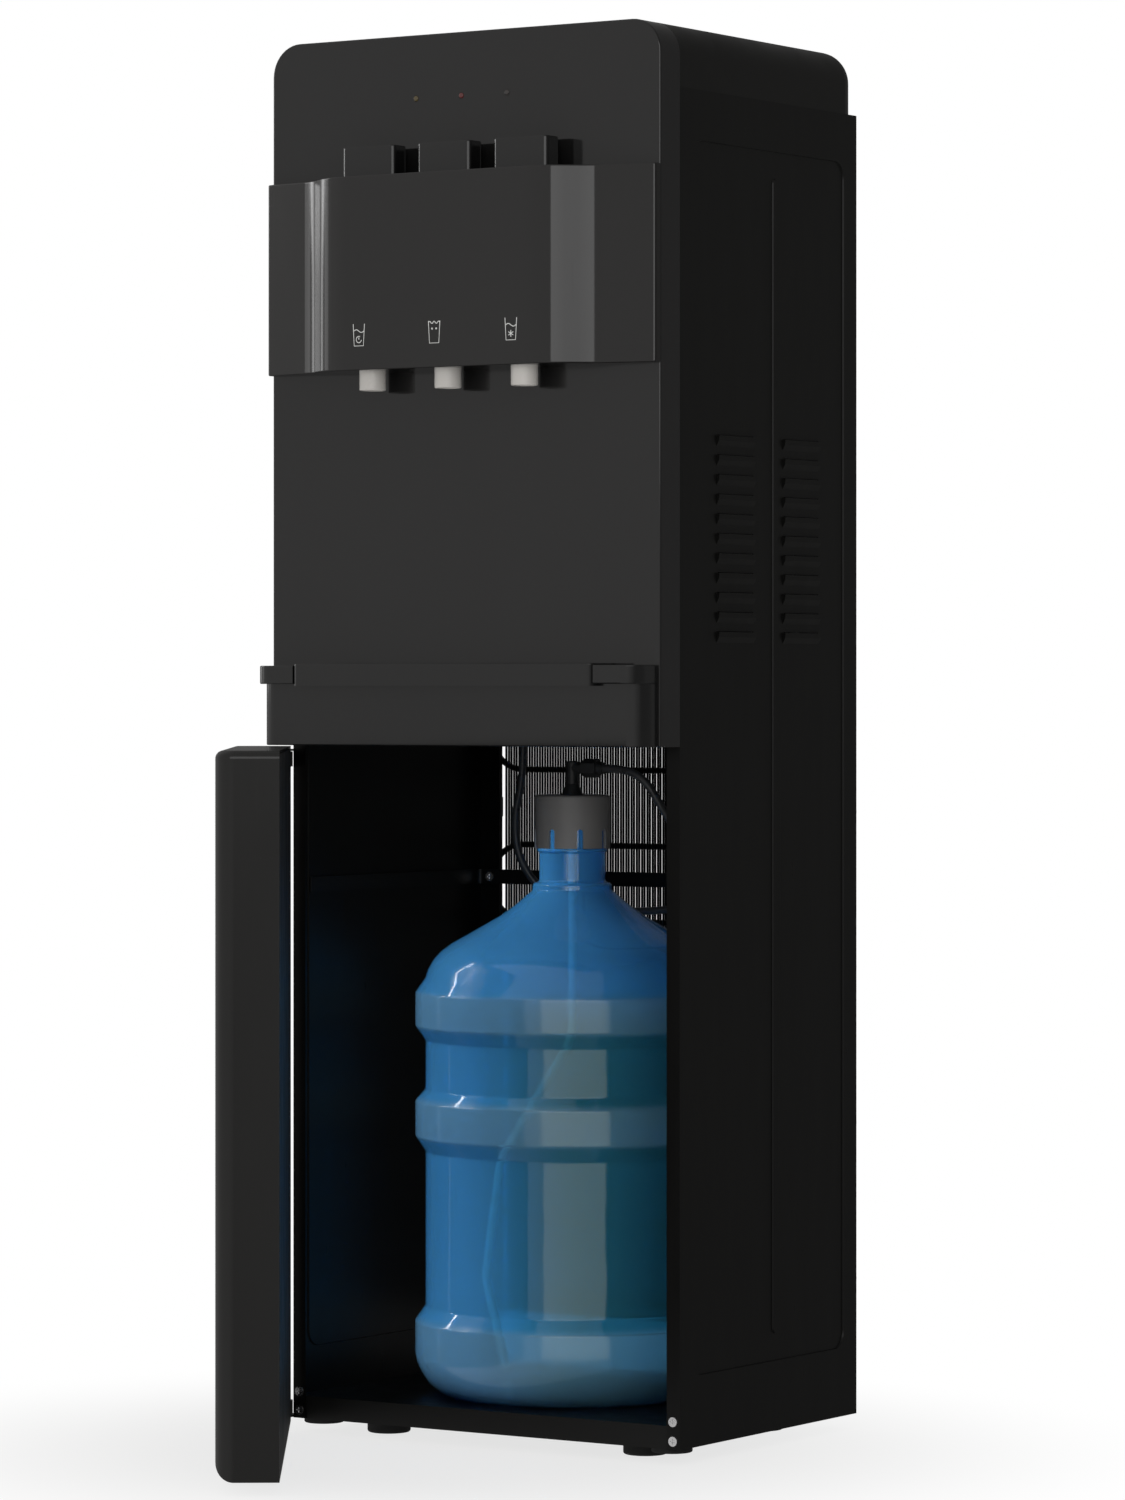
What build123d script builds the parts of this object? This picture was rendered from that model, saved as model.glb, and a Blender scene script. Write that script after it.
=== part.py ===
from build123d import *
from math import cos, pi, radians, sin
import os

# Floor-standing water dispenser with a bottom-loaded bottle, built at its real size in millimetres.
# +Z is up and the floor is Z = 0. The front faces -Y and the door hangs on the left (-X) side.
# Sizes below are measured in the cabinet's own frame: x from its centre line, y back from the
# front edge of the steel side panels, z up from the floor. CABINET_X and CABINET_Y place that
# frame so that the part's origin is under the centre of the whole object, door ajar.

# ---- driving dimensions ---------------------------------------------------------------------
WIDTH = 366.0
DEPTH = 270.0
HEIGHT = 1112.0
FOOT_HEIGHT = 12.0
SHEET = 1.0                 # painted steel
WALL = 2.5                  # moulded covers
CLEAR = 0.3                 # gap between parts that move past each other

FRONT_THICK = 28.0          # front panel, in front of the side panels
DECK_Z = 556.0              # floor of the machine space, roof of the bottle space
COVER_Z = 1061.0            # joint between side panels and top cover
PAN_TOP = 30.0              # floor that the bottle stands on
CORNER_R = 26.0             # rounded top corners

DOOR_BOTTOM = 10.0
DOOR_TOP = 552.0
DOOR_WIDTH = 358.0
DOOR_THICK = 48.0
DOOR_ANGLE = 55.5           # how far the door stands open at rest
HINGE_X = -186.5
HINGE_Y = -4.5
HINGE_PIN_R = 2.5

TAP_PITCH = 71.5
TAP_Y = -48.0
PIPE_Z = 900.0

BOTTLE_Y = 130.0
CONDENSER_Y = 276.4
TUBE_R = 2.5
WIRE_R = 1.1

HALF = WIDTH / 2
door_front = DOOR_THICK - 3.5
rear_reach = CONDENSER_Y + TUBE_R + 2 * WIRE_R
left_reach = HINGE_X + 3.5 * cos(radians(DOOR_ANGLE)) - door_front * sin(radians(DOOR_ANGLE))
front_reach = HINGE_Y - (DOOR_WIDTH - 8) * sin(radians(DOOR_ANGLE)) - door_front * cos(radians(DOOR_ANGLE))
CABINET_X = -round((left_reach + HALF) / 2, 1)
CABINET_Y = -round((front_reach + rear_reach) / 2, 1)

os.makedirs("parts", exist_ok=True)


def level(z):
    """Horizontal plane at height z."""
    return Plane((CABINET_X, CABINET_Y, z))


def facing(y):
    """Upright plane at depth y that looks forward; sketch x is width and sketch y is height."""
    return Plane(origin=(CABINET_X, CABINET_Y + y, 0), x_dir=(1, 0, 0), z_dir=(0, -1, 0))


def beside(x):
    """Upright plane at width x that looks right; sketch x is depth and sketch y is height."""
    return Plane(origin=(CABINET_X + x, CABINET_Y, 0), x_dir=(0, 1, 0), z_dir=(1, 0, 0))


def at(x, y, z):
    """A point given in the cabinet's frame."""
    return (CABINET_X + x, CABINET_Y + y, z)


def door_level(z):
    """Horizontal plane at height z in the open door: x runs from the hinge to the free edge, y inwards."""
    return Plane(
        origin=at(HINGE_X, HINGE_Y, z),
        x_dir=(cos(radians(DOOR_ANGLE)), -sin(radians(DOOR_ANGLE)), 0),
        z_dir=(0, 0, 1),
    )


def block(x0, x1, y0, y1, z0, z1, mode=Mode.ADD):
    """A box between two corners, in the cabinet's frame."""
    with Locations(at((x0 + x1) / 2, (y0 + y1) / 2, (z0 + z1) / 2)):
        Box(x1 - x0, y1 - y0, z1 - z0, mode=mode)


def post(x, y, z0, z1, radius, mode=Mode.ADD):
    """An upright cylinder, in the cabinet's frame."""
    with Locations(at(x, y, z0)):
        Cylinder(radius, z1 - z0, align=(Align.CENTER, Align.CENTER, Align.MIN), mode=mode)


# ---- base: pan, feet and corner glides --------------------------------------------------------
FEET = [(-122, 47), (122, 47), (-122, 223), (122, 223)]
FOOT_R = 17.4
GLIDE_R = 16.0
GLIDE_X = 165.0
GLIDE_Y = 17.5

with BuildPart() as base_pan:
    block(-HALF + SHEET, HALF - SHEET, SHEET, DEPTH - SHEET, FOOT_HEIGHT, PAN_TOP)
    block(-HALF + 2 * SHEET, HALF - 2 * SHEET, 2 * SHEET, DEPTH - 2 * SHEET,
          FOOT_HEIGHT, PAN_TOP - 1.2, mode=Mode.SUBTRACT)
    for x, y in FEET:
        post(x, y, FOOT_HEIGHT, PAN_TOP - 1.2, 11)
    for x in (-GLIDE_X, GLIDE_X):
        post(x, GLIDE_Y, FOOT_HEIGHT, PAN_TOP - 1.2, 9)
base_pan.part.label = "base_pan"
export_step(base_pan.part, "parts/base_pan.step")

with BuildPart() as rubber_feet:
    for x, y in FEET:
        post(x, y, 0, FOOT_HEIGHT, FOOT_R)
    fillet(rubber_feet.edges().group_by(Axis.Z)[0], 2)
    chamfer(rubber_feet.edges().group_by(Axis.Z)[-1], 1)
rubber_feet.part.label = "rubber_feet"
export_step(rubber_feet.part, "parts/rubber_feet.step")

with BuildPart() as corner_glides:
    for x in (-GLIDE_X, GLIDE_X):
        post(x, GLIDE_Y, 8, FOOT_HEIGHT, GLIDE_R)
    fillet(corner_glides.edges().group_by(Axis.Z)[0], 1.2)
corner_glides.part.label = "corner_glides"
export_step(corner_glides.part, "parts/corner_glides.step")

# ---- steel side panels ----------------------------------------------------------------------
FRONT_FLANGE = 12.0
REAR_FLANGE = 19.5
PRESS = 1.2                 # depth of the pressed field
FIELD_Y = (18, 250)
FIELD_Z = (67, 1022)
RIB_Y = 143.6
LOUVRE_COLUMNS = (56, 156)
LOUVRE_LENGTH = 56.0
LOUVRE_COUNT = 11
LOUVRE_PITCH = 15.3
LOUVRE_TOP = 795.0
HOOD_OUT = 2.6

for name, sign in (("left", -1), ("right", 1)):
    with BuildPart() as side_panel:
        outer = sign * HALF
        inner = sign * (HALF - SHEET)
        block(min(outer, inner), max(outer, inner), 0, DEPTH, FOOT_HEIGHT, COVER_Z)
        lip = sign * (HALF - FRONT_FLANGE)
        block(min(lip, inner), max(lip, inner), 0, SHEET, FOOT_HEIGHT, COVER_Z)
        rear_lip = sign * (HALF - REAR_FLANGE)
        block(min(rear_lip, inner), max(rear_lip, inner), DEPTH - SHEET, DEPTH, FOOT_HEIGHT, COVER_Z)
        with BuildSketch(beside(inner)):
            with Locations(((FIELD_Y[0] + FIELD_Y[1]) / 2, (FIELD_Z[0] + FIELD_Z[1]) / 2)):
                RectangleRounded(FIELD_Y[1] - FIELD_Y[0], FIELD_Z[1] - FIELD_Z[0], 14)
        extrude(amount=-sign * PRESS, taper=30)
        with BuildSketch(beside(outer)):
            with Locations(((FIELD_Y[0] + FIELD_Y[1]) / 2, (FIELD_Z[0] + FIELD_Z[1]) / 2)):
                RectangleRounded(FIELD_Y[1] - FIELD_Y[0], FIELD_Z[1] - FIELD_Z[0], 14)
            with Locations((RIB_Y, (FIELD_Z[0] + FIELD_Z[1]) / 2)):
                SlotOverall(FIELD_Z[1] - FIELD_Z[0] - 44, 7, rotation=90, mode=Mode.SUBTRACT)
        extrude(amount=-sign * PRESS, taper=30, mode=Mode.SUBTRACT)
        for start in LOUVRE_COLUMNS:
            with BuildSketch(facing(start)):
                for row in range(LOUVRE_COUNT):
                    top = LOUVRE_TOP - row * LOUVRE_PITCH
                    with BuildLine():
                        Polyline(
                            (sign * (HALF - PRESS - 0.8), top),
                            (sign * (HALF - PRESS + HOOD_OUT), top),
                            (sign * (HALF - PRESS + HOOD_OUT - 0.4), top - 4),
                            (sign * (HALF - PRESS - 0.8), top - 10),
                            close=True,
                        )
                    make_face()
            extrude(amount=-LOUVRE_LENGTH)
            with BuildSketch(facing(start + 1.2)):
                for row in range(LOUVRE_COUNT):
                    top = LOUVRE_TOP - row * LOUVRE_PITCH
                    with BuildLine():
                        Polyline(
                            (sign * (HALF - 6), top + 0.5),
                            (sign * (HALF - PRESS + HOOD_OUT - 1), top + 0.5),
                            (sign * (HALF - PRESS + HOOD_OUT - 1.3), top - 3.8),
                            (sign * (HALF - 6), top - 9.3),
                            close=True,
                        )
                    make_face()
            extrude(amount=-LOUVRE_LENGTH + 2.4, mode=Mode.SUBTRACT)
    side_panel.part.label = f"side_panel_{name}"
    export_step(side_panel.part, f"parts/side_panel_{name}.step")

# ---- back panel, mid deck and brace ----------------------------------------------------------
BACK_HALF = 178.0
BACK_TOP = 1058.0
SWITCH_Z = 700.0
SWITCH_X = (110.0, 140.0)
DRAIN_Z = 642.0
DRAIN_X = (-120.0, -80.0)
GLAND = (130.0, 642.0)
HOSE_X = -94.0              # where the water hose passes the deck
HOSE_Y = 200.0

with BuildPart() as back_panel:
    block(-BACK_HALF, BACK_HALF, DEPTH, DEPTH + SHEET, DECK_Z, BACK_TOP)
    with BuildSketch(facing(DEPTH)):
        with Locations((0, 1020)):
            with GridLocations(22, 12, 12, 3):
                SlotOverall(16, 4)
        with Locations(*[(x, SWITCH_Z) for x in SWITCH_X]):
            Rectangle(13, 25)
        with Locations(*[(x, DRAIN_Z) for x in DRAIN_X]):
            Circle(7)
        with Locations(GLAND):
            Circle(7)
        with Locations((-150, 620)):
            Circle(3.2)
    extrude(amount=-SHEET, mode=Mode.SUBTRACT)
back_panel.part.label = "back_panel"
export_step(back_panel.part, "parts/back_panel.step")

with BuildPart() as mid_deck:
    block(-HALF + SHEET + PRESS, HALF - SHEET - PRESS, SHEET, DEPTH - SHEET, DECK_Z, DECK_Z + 1.2)
    post(HOSE_X, HOSE_Y, DECK_Z - 1, DECK_Z + 3, 6.2, mode=Mode.SUBTRACT)
mid_deck.part.label = "mid_deck"
export_step(mid_deck.part, "parts/mid_deck.step")

BRACE_Z = 434.0
BRACE_HIGH = 12.0
BRACE_REAR = 262.0
with BuildPart() as compartment_brace:
    with BuildSketch(level(BRACE_Z)):
        with BuildLine():
            side = HALF - SHEET - PRESS - 0.8
            path = FilletPolyline((-side, 20), (-side, BRACE_REAR), (side, BRACE_REAR), (side, 20), radius=5)
            offset(path, amount=0.75)
        make_face()
    extrude(amount=BRACE_HIGH)
compartment_brace.part.label = "compartment_brace"
export_step(compartment_brace.part, "parts/compartment_brace.step")

# Cross-head screws: two low on each front flange and one at each rear corner of the brace.
SCREW_X = 177.0
SCREW_Z = (18.5, 33.5)
BRACE_SCREW_X = 168.0
screw_seats = [(x, 0.0, z) for x in (-SCREW_X, SCREW_X) for z in SCREW_Z]
screw_seats += [(x, BRACE_REAR - 0.75, BRACE_Z + BRACE_HIGH / 2) for x in (-BRACE_SCREW_X, BRACE_SCREW_X)]
with BuildPart() as cabinet_screws:
    for x, seat, z in screw_seats:
        with BuildSketch(facing(seat)):
            with Locations((x, z)):
                Circle(4)
        extrude(amount=1.0, taper=12)
        with BuildSketch(facing(seat - 1.0)):
            with Locations((x, z)):
                Rectangle(4.2, 0.9)
                Rectangle(0.9, 4.2)
        extrude(amount=-0.6, mode=Mode.SUBTRACT)
cabinet_screws.part.label = "cabinet_screws"
export_step(cabinet_screws.part, "parts/cabinet_screws.step")

# ---- top cover ------------------------------------------------------------------------------
with BuildPart() as top_cover:
    with BuildSketch(facing(0)) as cover_end:
        with Locations((0, (COVER_Z + HEIGHT) / 2)):
            Rectangle(WIDTH, HEIGHT - COVER_Z)
        fillet(cover_end.vertices().group_by(Axis.Y)[-1], CORNER_R)
    extrude(amount=-DEPTH - 1.5)
    fillet(top_cover.faces().sort_by(Axis.Y)[-1].edges().sort_by(Axis.Z)[-1], 20)
    offset(amount=-WALL, openings=top_cover.faces().sort_by(Axis.Z)[0])
top_cover.part.label = "top_cover"
export_step(top_cover.part, "parts/top_cover.step")

# ---- front panel and indicators --------------------------------------------------------------
PANEL_BOTTOM = 553.0
LED_Z = 1062.0
LED_X = (-44.0, -1.0, 42.0)
LED_R = 2.3
PIPE_R = 5.0

with BuildPart() as front_panel:
    with BuildSketch(facing(0)) as panel_face:
        with Locations((0, (PANEL_BOTTOM + HEIGHT) / 2)):
            Rectangle(WIDTH, HEIGHT - PANEL_BOTTOM)
        fillet(panel_face.vertices().group_by(Axis.Y)[-1], CORNER_R)
    extrude(amount=FRONT_THICK)
    fillet(front_panel.faces().sort_by(Axis.Y)[0].edges(), 1.5)
    offset(amount=-WALL, openings=front_panel.faces().sort_by(Axis.Y)[-1])
    with BuildSketch(facing(-FRONT_THICK)):
        with Locations(*[(x, LED_Z) for x in LED_X]):
            Circle(LED_R + 0.1)
        with GridLocations(TAP_PITCH, 1, 3, 1):
            with Locations((0, PIPE_Z)):
                Circle(PIPE_R + 1)
    extrude(amount=-WALL, mode=Mode.SUBTRACT)
front_panel.part.label = "front_panel"
export_step(front_panel.part, "parts/front_panel.step")

with BuildPart() as indicator_lenses:
    with BuildSketch(facing(-22)):
        with Locations(*[(x, LED_Z) for x in LED_X]):
            Circle(LED_R)
    extrude(amount=FRONT_THICK - 22 + 0.8)
    fillet(indicator_lenses.edges().group_by(Axis.Y)[0], 1.2)
indicator_lenses.part.label = "indicator_lenses"
export_step(indicator_lenses.part, "parts/indicator_lenses.step")

with BuildPart() as indicator_board:
    block(-60, 58, -22, -20.4, LED_Z - 14, LED_Z + 14)
indicator_board.part.label = "indicator_board"
export_step(indicator_board.part, "parts/indicator_board.step")

# ---- tap cover, buttons, taps ----------------------------------------------------------------
TAP_COVER_BOTTOM = 847.5
TAP_COVER_TOP = 1000.0
TAPS = (("left", -TAP_PITCH), ("middle", 0.0), ("right", TAP_PITCH))
BUTTON_WIDE = 50.0
BUTTON_DEEP = 19.0
BUTTON_Y = -45.5
BUTTON_TOP = 1024.0
BUTTON_TRAVEL = 7.0
NOZZLE_R = 10.5
NOZZLE_LOW = 832.0
TAP_BODY_LOW = 862.0
TAP_BODY_TOP = 958.0


def cover_outline():
    """Plan of the tap cover: flat centre, one slope each side, then wings that run out to the panel edges."""
    right = FilletPolyline(
        (0, -67), (90, -67), (107.5, -64.5), (131.5, -46), (HALF, -35.1), (HALF, -FRONT_THICK),
        radius=(60, 34, 38, 2.5),
    )
    mirror(right, about=Plane.YZ)
    Line((-HALF, -FRONT_THICK), (HALF, -FRONT_THICK))


with BuildPart() as tap_cover:
    with BuildSketch(level(TAP_COVER_BOTTOM)):
        with BuildLine():
            cover_outline()
        make_face()
    extrude(amount=TAP_COVER_TOP - TAP_COVER_BOTTOM)
    fillet(tap_cover.faces().sort_by(Axis.Z)[-1].edges().filter_by(
        lambda e: e.center().Y < CABINET_Y - FRONT_THICK - 0.5), 1.2)
    fillet(tap_cover.faces().sort_by(Axis.Z)[0].edges().filter_by(
        lambda e: e.center().Y < CABINET_Y - FRONT_THICK - 0.5), 1.2)
    with BuildSketch(level(TAP_COVER_BOTTOM + WALL)):
        with BuildLine():
            cover_outline()
        make_face()
        offset(amount=-WALL)
        with Locations((0, -FRONT_THICK - WALL / 2)):
            Rectangle(WIDTH - 2 * WALL, WALL)
    extrude(amount=TAP_COVER_TOP - TAP_COVER_BOTTOM - 2 * WALL, mode=Mode.SUBTRACT)
    for side, x in TAPS:
        block(x - BUTTON_WIDE / 2 - 0.4, x + BUTTON_WIDE / 2 + 0.4,
              BUTTON_Y - BUTTON_DEEP / 2 - 0.4, BUTTON_Y + BUTTON_DEEP / 2 + 0.4,
              TAP_COVER_TOP - 2 * WALL, TAP_COVER_TOP + 1, mode=Mode.SUBTRACT)
        post(x, TAP_Y, TAP_COVER_BOTTOM - 1, TAP_COVER_BOTTOM + 2 * WALL, NOZZLE_R + 0.4, mode=Mode.SUBTRACT)
tap_cover.part.label = "tap_cover"
export_step(tap_cover.part, "parts/tap_cover.step")

for side, x in TAPS:
    # Button: a cap with a stop flange under the cover's top and a post that enters the tap.
    with BuildPart() as button:
        with BuildSketch(level(978)):
            with Locations((x, BUTTON_Y)):
                RectangleRounded(BUTTON_WIDE, BUTTON_DEEP, 4)
        extrude(amount=BUTTON_TOP - 978)
        fillet(button.faces().sort_by(Axis.Z)[-1].edges(), 1.2)
        with BuildSketch(level(978)):
            with Locations((x, BUTTON_Y)):
                RectangleRounded(BUTTON_WIDE - 4, BUTTON_DEEP - 4, 2)
        extrude(amount=BUTTON_TOP - 978 - 2, mode=Mode.SUBTRACT)
        with BuildSketch(level(994)):
            with Locations((x, BUTTON_Y)):
                RectangleRounded(BUTTON_WIDE + 4, BUTTON_DEEP + 4, 3)
                RectangleRounded(BUTTON_WIDE - 4, BUTTON_DEEP - 4, 2, mode=Mode.SUBTRACT)
        extrude(amount=3.2)
        block(x - BUTTON_WIDE / 2 + 2, x + BUTTON_WIDE / 2 - 2,
              BUTTON_Y - BUTTON_DEEP / 2 + 2, BUTTON_Y + BUTTON_DEEP / 2 - 2, 990, 992)
        post(x, TAP_Y, 950, BUTTON_TOP - 2, 3)
    button.part.label = f"button_{side}"
    export_step(button.part, f"parts/button_{side}.step")

    with BuildPart() as button_spring:
        with BuildLine(level(TAP_BODY_TOP + 0.8)):
            coil = Helix(pitch=5.0, height=30.0, radius=4.1, center=(x, TAP_Y, 0))
        with BuildSketch(Plane(origin=coil @ 0, z_dir=coil % 0)):
            Circle(0.45)
        sweep(path=coil, is_frenet=True)
    button_spring.part.label = f"button_spring_{side}"
    export_step(button_spring.part, f"parts/button_spring_{side}.step")

# Tap bodies: upright barrels, each with a spigot to the pipe behind it and a channel down to the nozzle.
with BuildPart() as tap_bodies:
    for side, x in TAPS:
        post(x, TAP_Y, TAP_BODY_LOW, TAP_BODY_TOP, 11.5)
        with BuildSketch(facing(-20)):
            with Locations((x, PIPE_Z)):
                Circle(PIPE_R)
        extrude(amount=20)
        post(x, TAP_Y, 938, TAP_BODY_TOP, 3.5, mode=Mode.SUBTRACT)
        post(x, TAP_Y, TAP_BODY_LOW, PIPE_Z + 3, 5, mode=Mode.SUBTRACT)
        with BuildSketch(facing(-20)):
            with Locations((x, PIPE_Z)):
                Circle(PIPE_R - 2)
        extrude(amount=-TAP_Y - 20, mode=Mode.SUBTRACT)
tap_bodies.part.label = "tap_bodies"
export_step(tap_bodies.part, "parts/tap_bodies.step")

with BuildPart() as nozzles:
    for side, x in TAPS:
        post(x, TAP_Y, NOZZLE_LOW, TAP_BODY_LOW, NOZZLE_R)
    fillet(nozzles.edges().group_by(Axis.Z)[0], 1)
    for side, x in TAPS:
        post(x, TAP_Y, NOZZLE_LOW, TAP_BODY_LOW, NOZZLE_R - 2.2, mode=Mode.SUBTRACT)
nozzles.part.label = "nozzles"
export_step(nozzles.part, "parts/nozzles.step")

# ---- shelf, skirt, drip tray and grille --------------------------------------------------------
SHELF_LOW = 601.6
SHELF_HIGH = 616.1
SHELF_HALF = 180.0
SHELF_FRONT = -59.0
SKIRT_FRONT = -50.0
TRAY_HALF = 141.0
TRAY_FRONT = -60.5
TRAY_BACK = -30.5
TRAY_LOW = 600.0
TRAY_HIGH = 617.5
GRILLE_THICK = 2.0
SLOT_PITCH = 7.0
SLOT_COUNT = 37


def front_corner_slab(half, front, back, z0, z1, radius):
    """A slab across the front with its two front corners rounded."""
    with BuildSketch(level(z0)) as slab:
        with Locations((0, (front + back) / 2)):
            Rectangle(2 * half, back - front)
        fillet(slab.vertices().group_by(Axis.Y)[0], radius)
    return extrude(slab.sketch, amount=z1 - z0, dir=(0, 0, 1), mode=Mode.PRIVATE)


with BuildPart() as tray_skirt:
    add(front_corner_slab(SHELF_HALF, SKIRT_FRONT, -FRONT_THICK, PANEL_BOTTOM, SHELF_LOW, 14))
    fillet(tray_skirt.faces().sort_by(Axis.Z)[0].edges().filter_by(
        lambda e: e.center().Y < CABINET_Y - FRONT_THICK - 0.5), 1)
    add(front_corner_slab(SHELF_HALF - WALL, SKIRT_FRONT + WALL, -FRONT_THICK,
                          PANEL_BOTTOM + WALL, SHELF_LOW - WALL, 11.5), mode=Mode.SUBTRACT)
tray_skirt.part.label = "tray_skirt"
export_step(tray_skirt.part, "parts/tray_skirt.step")

with BuildPart() as tray_shelf:
    add(front_corner_slab(SHELF_HALF, SHELF_FRONT, -FRONT_THICK, SHELF_LOW, SHELF_HIGH, 14))
    fillet(tray_shelf.edges().filter_by(
        lambda e: abs(e.center().Z - (SHELF_LOW + SHELF_HIGH) / 2) > 5
        and e.center().Y < CABINET_Y - FRONT_THICK - 0.5), 1)
    block(-TRAY_HALF - CLEAR, TRAY_HALF + CLEAR, SHELF_FRONT - 1, TRAY_BACK + CLEAR,
          SHELF_LOW - 1, SHELF_HIGH + 1, mode=Mode.SUBTRACT)
tray_shelf.part.label = "tray_shelf"
export_step(tray_shelf.part, "parts/tray_shelf.step")

with BuildPart() as drip_tray:
    add(front_corner_slab(TRAY_HALF, TRAY_FRONT, TRAY_BACK, TRAY_LOW, TRAY_HIGH, 5))
    fillet(drip_tray.faces().sort_by(Axis.Z)[-1].edges().filter_by(
        lambda e: e.center().Y < CABINET_Y + TRAY_BACK - 1), 1)
    block(-TRAY_HALF, TRAY_HALF, SKIRT_FRONT - CLEAR, TRAY_BACK, TRAY_LOW, SHELF_LOW + CLEAR,
          mode=Mode.SUBTRACT)
    block(-TRAY_HALF + 2, TRAY_HALF - 2, TRAY_FRONT + 2, TRAY_BACK - 2,
          TRAY_HIGH - GRILLE_THICK, TRAY_HIGH, mode=Mode.SUBTRACT)
    block(-TRAY_HALF + 4, TRAY_HALF - 4, TRAY_FRONT + 4, TRAY_BACK - 4,
          SHELF_LOW + 2.3, TRAY_HIGH, mode=Mode.SUBTRACT)
drip_tray.part.label = "drip_tray"
export_step(drip_tray.part, "parts/drip_tray.step")

with BuildPart() as drip_grille:
    block(-TRAY_HALF + 2 + CLEAR, TRAY_HALF - 2 - CLEAR, TRAY_FRONT + 2 + CLEAR, TRAY_BACK - 2 - CLEAR,
          TRAY_HIGH - GRILLE_THICK, TRAY_HIGH)
    with BuildSketch(level(TRAY_HIGH)):
        with Locations((0, (TRAY_FRONT + TRAY_BACK) / 2)):
            with GridLocations(SLOT_PITCH, 1, SLOT_COUNT, 1):
                SlotOverall(22, 3.4, rotation=90)
    extrude(amount=-GRILLE_THICK, mode=Mode.SUBTRACT)
drip_grille.part.label = "drip_grille"
export_step(drip_grille.part, "parts/drip_grille.step")

# ---- door, in its own plane ------------------------------------------------------------------
EAR_R = 5.0
EAR_LOW = 14.4
EAR_HIGH = 12.0
BUSH_R = 3.2
PIN_REACH = 10.0
hinge_ends = ((EAR_LOW, EAR_LOW + EAR_HIGH), (DOOR_TOP - 4.6 - EAR_HIGH, DOOR_TOP - 4.6))
door_mid = (DOOR_BOTTOM + DOOR_TOP) / 2
shell_left = 3.5
shell_right = shell_left + DOOR_WIDTH

outward = door_level(0).y_dir * -1


def door_block(inset, side_radius, top_radius, depth):
    """The door's outline drawn in by inset, rounded round its front face."""
    with BuildPart(mode=Mode.PRIVATE) as body:
        with BuildSketch(door_level(DOOR_BOTTOM + inset)):
            with Locations(((shell_left + shell_right) / 2, shell_left - DOOR_THICK + inset + depth / 2)):
                Rectangle(DOOR_WIDTH - 2 * inset, depth)
        extrude(amount=DOOR_TOP - DOOR_BOTTOM - 2 * inset)
        face_edges = body.faces().sort_by(Axis(origin=(0, 0, 0), direction=outward))[-1].edges()
        fillet(face_edges.sort_by(Axis.Z)[:3], side_radius)
        top_edges = body.edges().group_by(Axis.Z)[-1].sort_by(Axis(origin=(0, 0, 0), direction=outward))
        fillet(top_edges[-1], top_radius)
    return body.part


with BuildPart() as door_shell:
    add(door_block(0, 14, 6, DOOR_THICK))
    add(door_block(WALL, 11.5, 3.5, DOOR_THICK), mode=Mode.SUBTRACT)
    for low, high in hinge_ends:
        with BuildSketch(door_level(low)):
            Circle(EAR_R)
            with Locations((EAR_R / 2, 0)):
                Rectangle(EAR_R, 2 * EAR_R)
            with Locations((shell_left + 5, 0)):
                Rectangle(10, 30, mode=Mode.SUBTRACT)
            Circle(BUSH_R, mode=Mode.SUBTRACT)
        extrude(amount=high - low)
door_shell.part.label = "door_shell"
export_step(door_shell.part, "parts/door_shell.step")

with BuildPart() as door_liner:
    with BuildSketch(door_level(DOOR_BOTTOM + WALL + 0.2)):
        with Locations(((shell_left + shell_right) / 2, shell_left - 1)):
            Rectangle(DOOR_WIDTH - 2 * WALL - 0.4, 2)
    extrude(amount=DOOR_TOP - DOOR_BOTTOM - 2 * WALL - 0.4)
    fillet(door_liner.edges().filter_by(Axis((0, 0, 0), tuple(outward))), 4)
door_liner.part.label = "door_liner"
export_step(door_liner.part, "parts/door_liner.step")

with BuildPart() as door_magnet:
    with BuildSketch(door_level(door_mid - 20)):
        with Locations((shell_right - 14, shell_left - 5)):
            Rectangle(14, 6)
    extrude(amount=40)
door_magnet.part.label = "door_magnet"
export_step(door_magnet.part, "parts/door_magnet.step")

with BuildPart() as hinge_bushes:
    for low, high in hinge_ends:
        with BuildSketch(door_level(low)):
            Circle(BUSH_R)
            Circle(HINGE_PIN_R + 0.05, mode=Mode.SUBTRACT)
        extrude(amount=high - low)
hinge_bushes.part.label = "hinge_bushes"
export_step(hinge_bushes.part, "parts/hinge_bushes.step")

# Hinge brackets: a leaf on the side panel and an arm that carries the pin.
BRACKET = 1.6
ARM_R = 3.3
LEAF_Y = (3.0, 25.0)
LEAF_HIGH = 27.0
low_arm = EAR_LOW - 0.4 - BRACKET
high_arm = hinge_ends[1][1] + 0.4
# Height of each arm, of the foot of its leaf and of the foot of its pin.
arms = (
    (low_arm, low_arm, low_arm),
    (high_arm, high_arm + BRACKET - LEAF_HIGH, high_arm - PIN_REACH),
)
with BuildPart() as hinge_brackets:
    for arm_z, leaf_z, pin_z in arms:
        with BuildSketch(level(arm_z)):
            with Locations((HINGE_X, HINGE_Y)):
                Circle(ARM_R)
            with Locations((HINGE_X, (HINGE_Y + LEAF_Y[1]) / 2)):
                Rectangle(2 * ARM_R, LEAF_Y[1] - HINGE_Y)
            with Locations((HINGE_X, HINGE_Y)):
                Circle(HINGE_PIN_R, mode=Mode.SUBTRACT)
        extrude(amount=BRACKET)
        block(-HALF - BRACKET, -HALF, LEAF_Y[0], LEAF_Y[1], leaf_z, leaf_z + LEAF_HIGH)
hinge_brackets.part.label = "hinge_brackets"
export_step(hinge_brackets.part, "parts/hinge_brackets.step")

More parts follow.
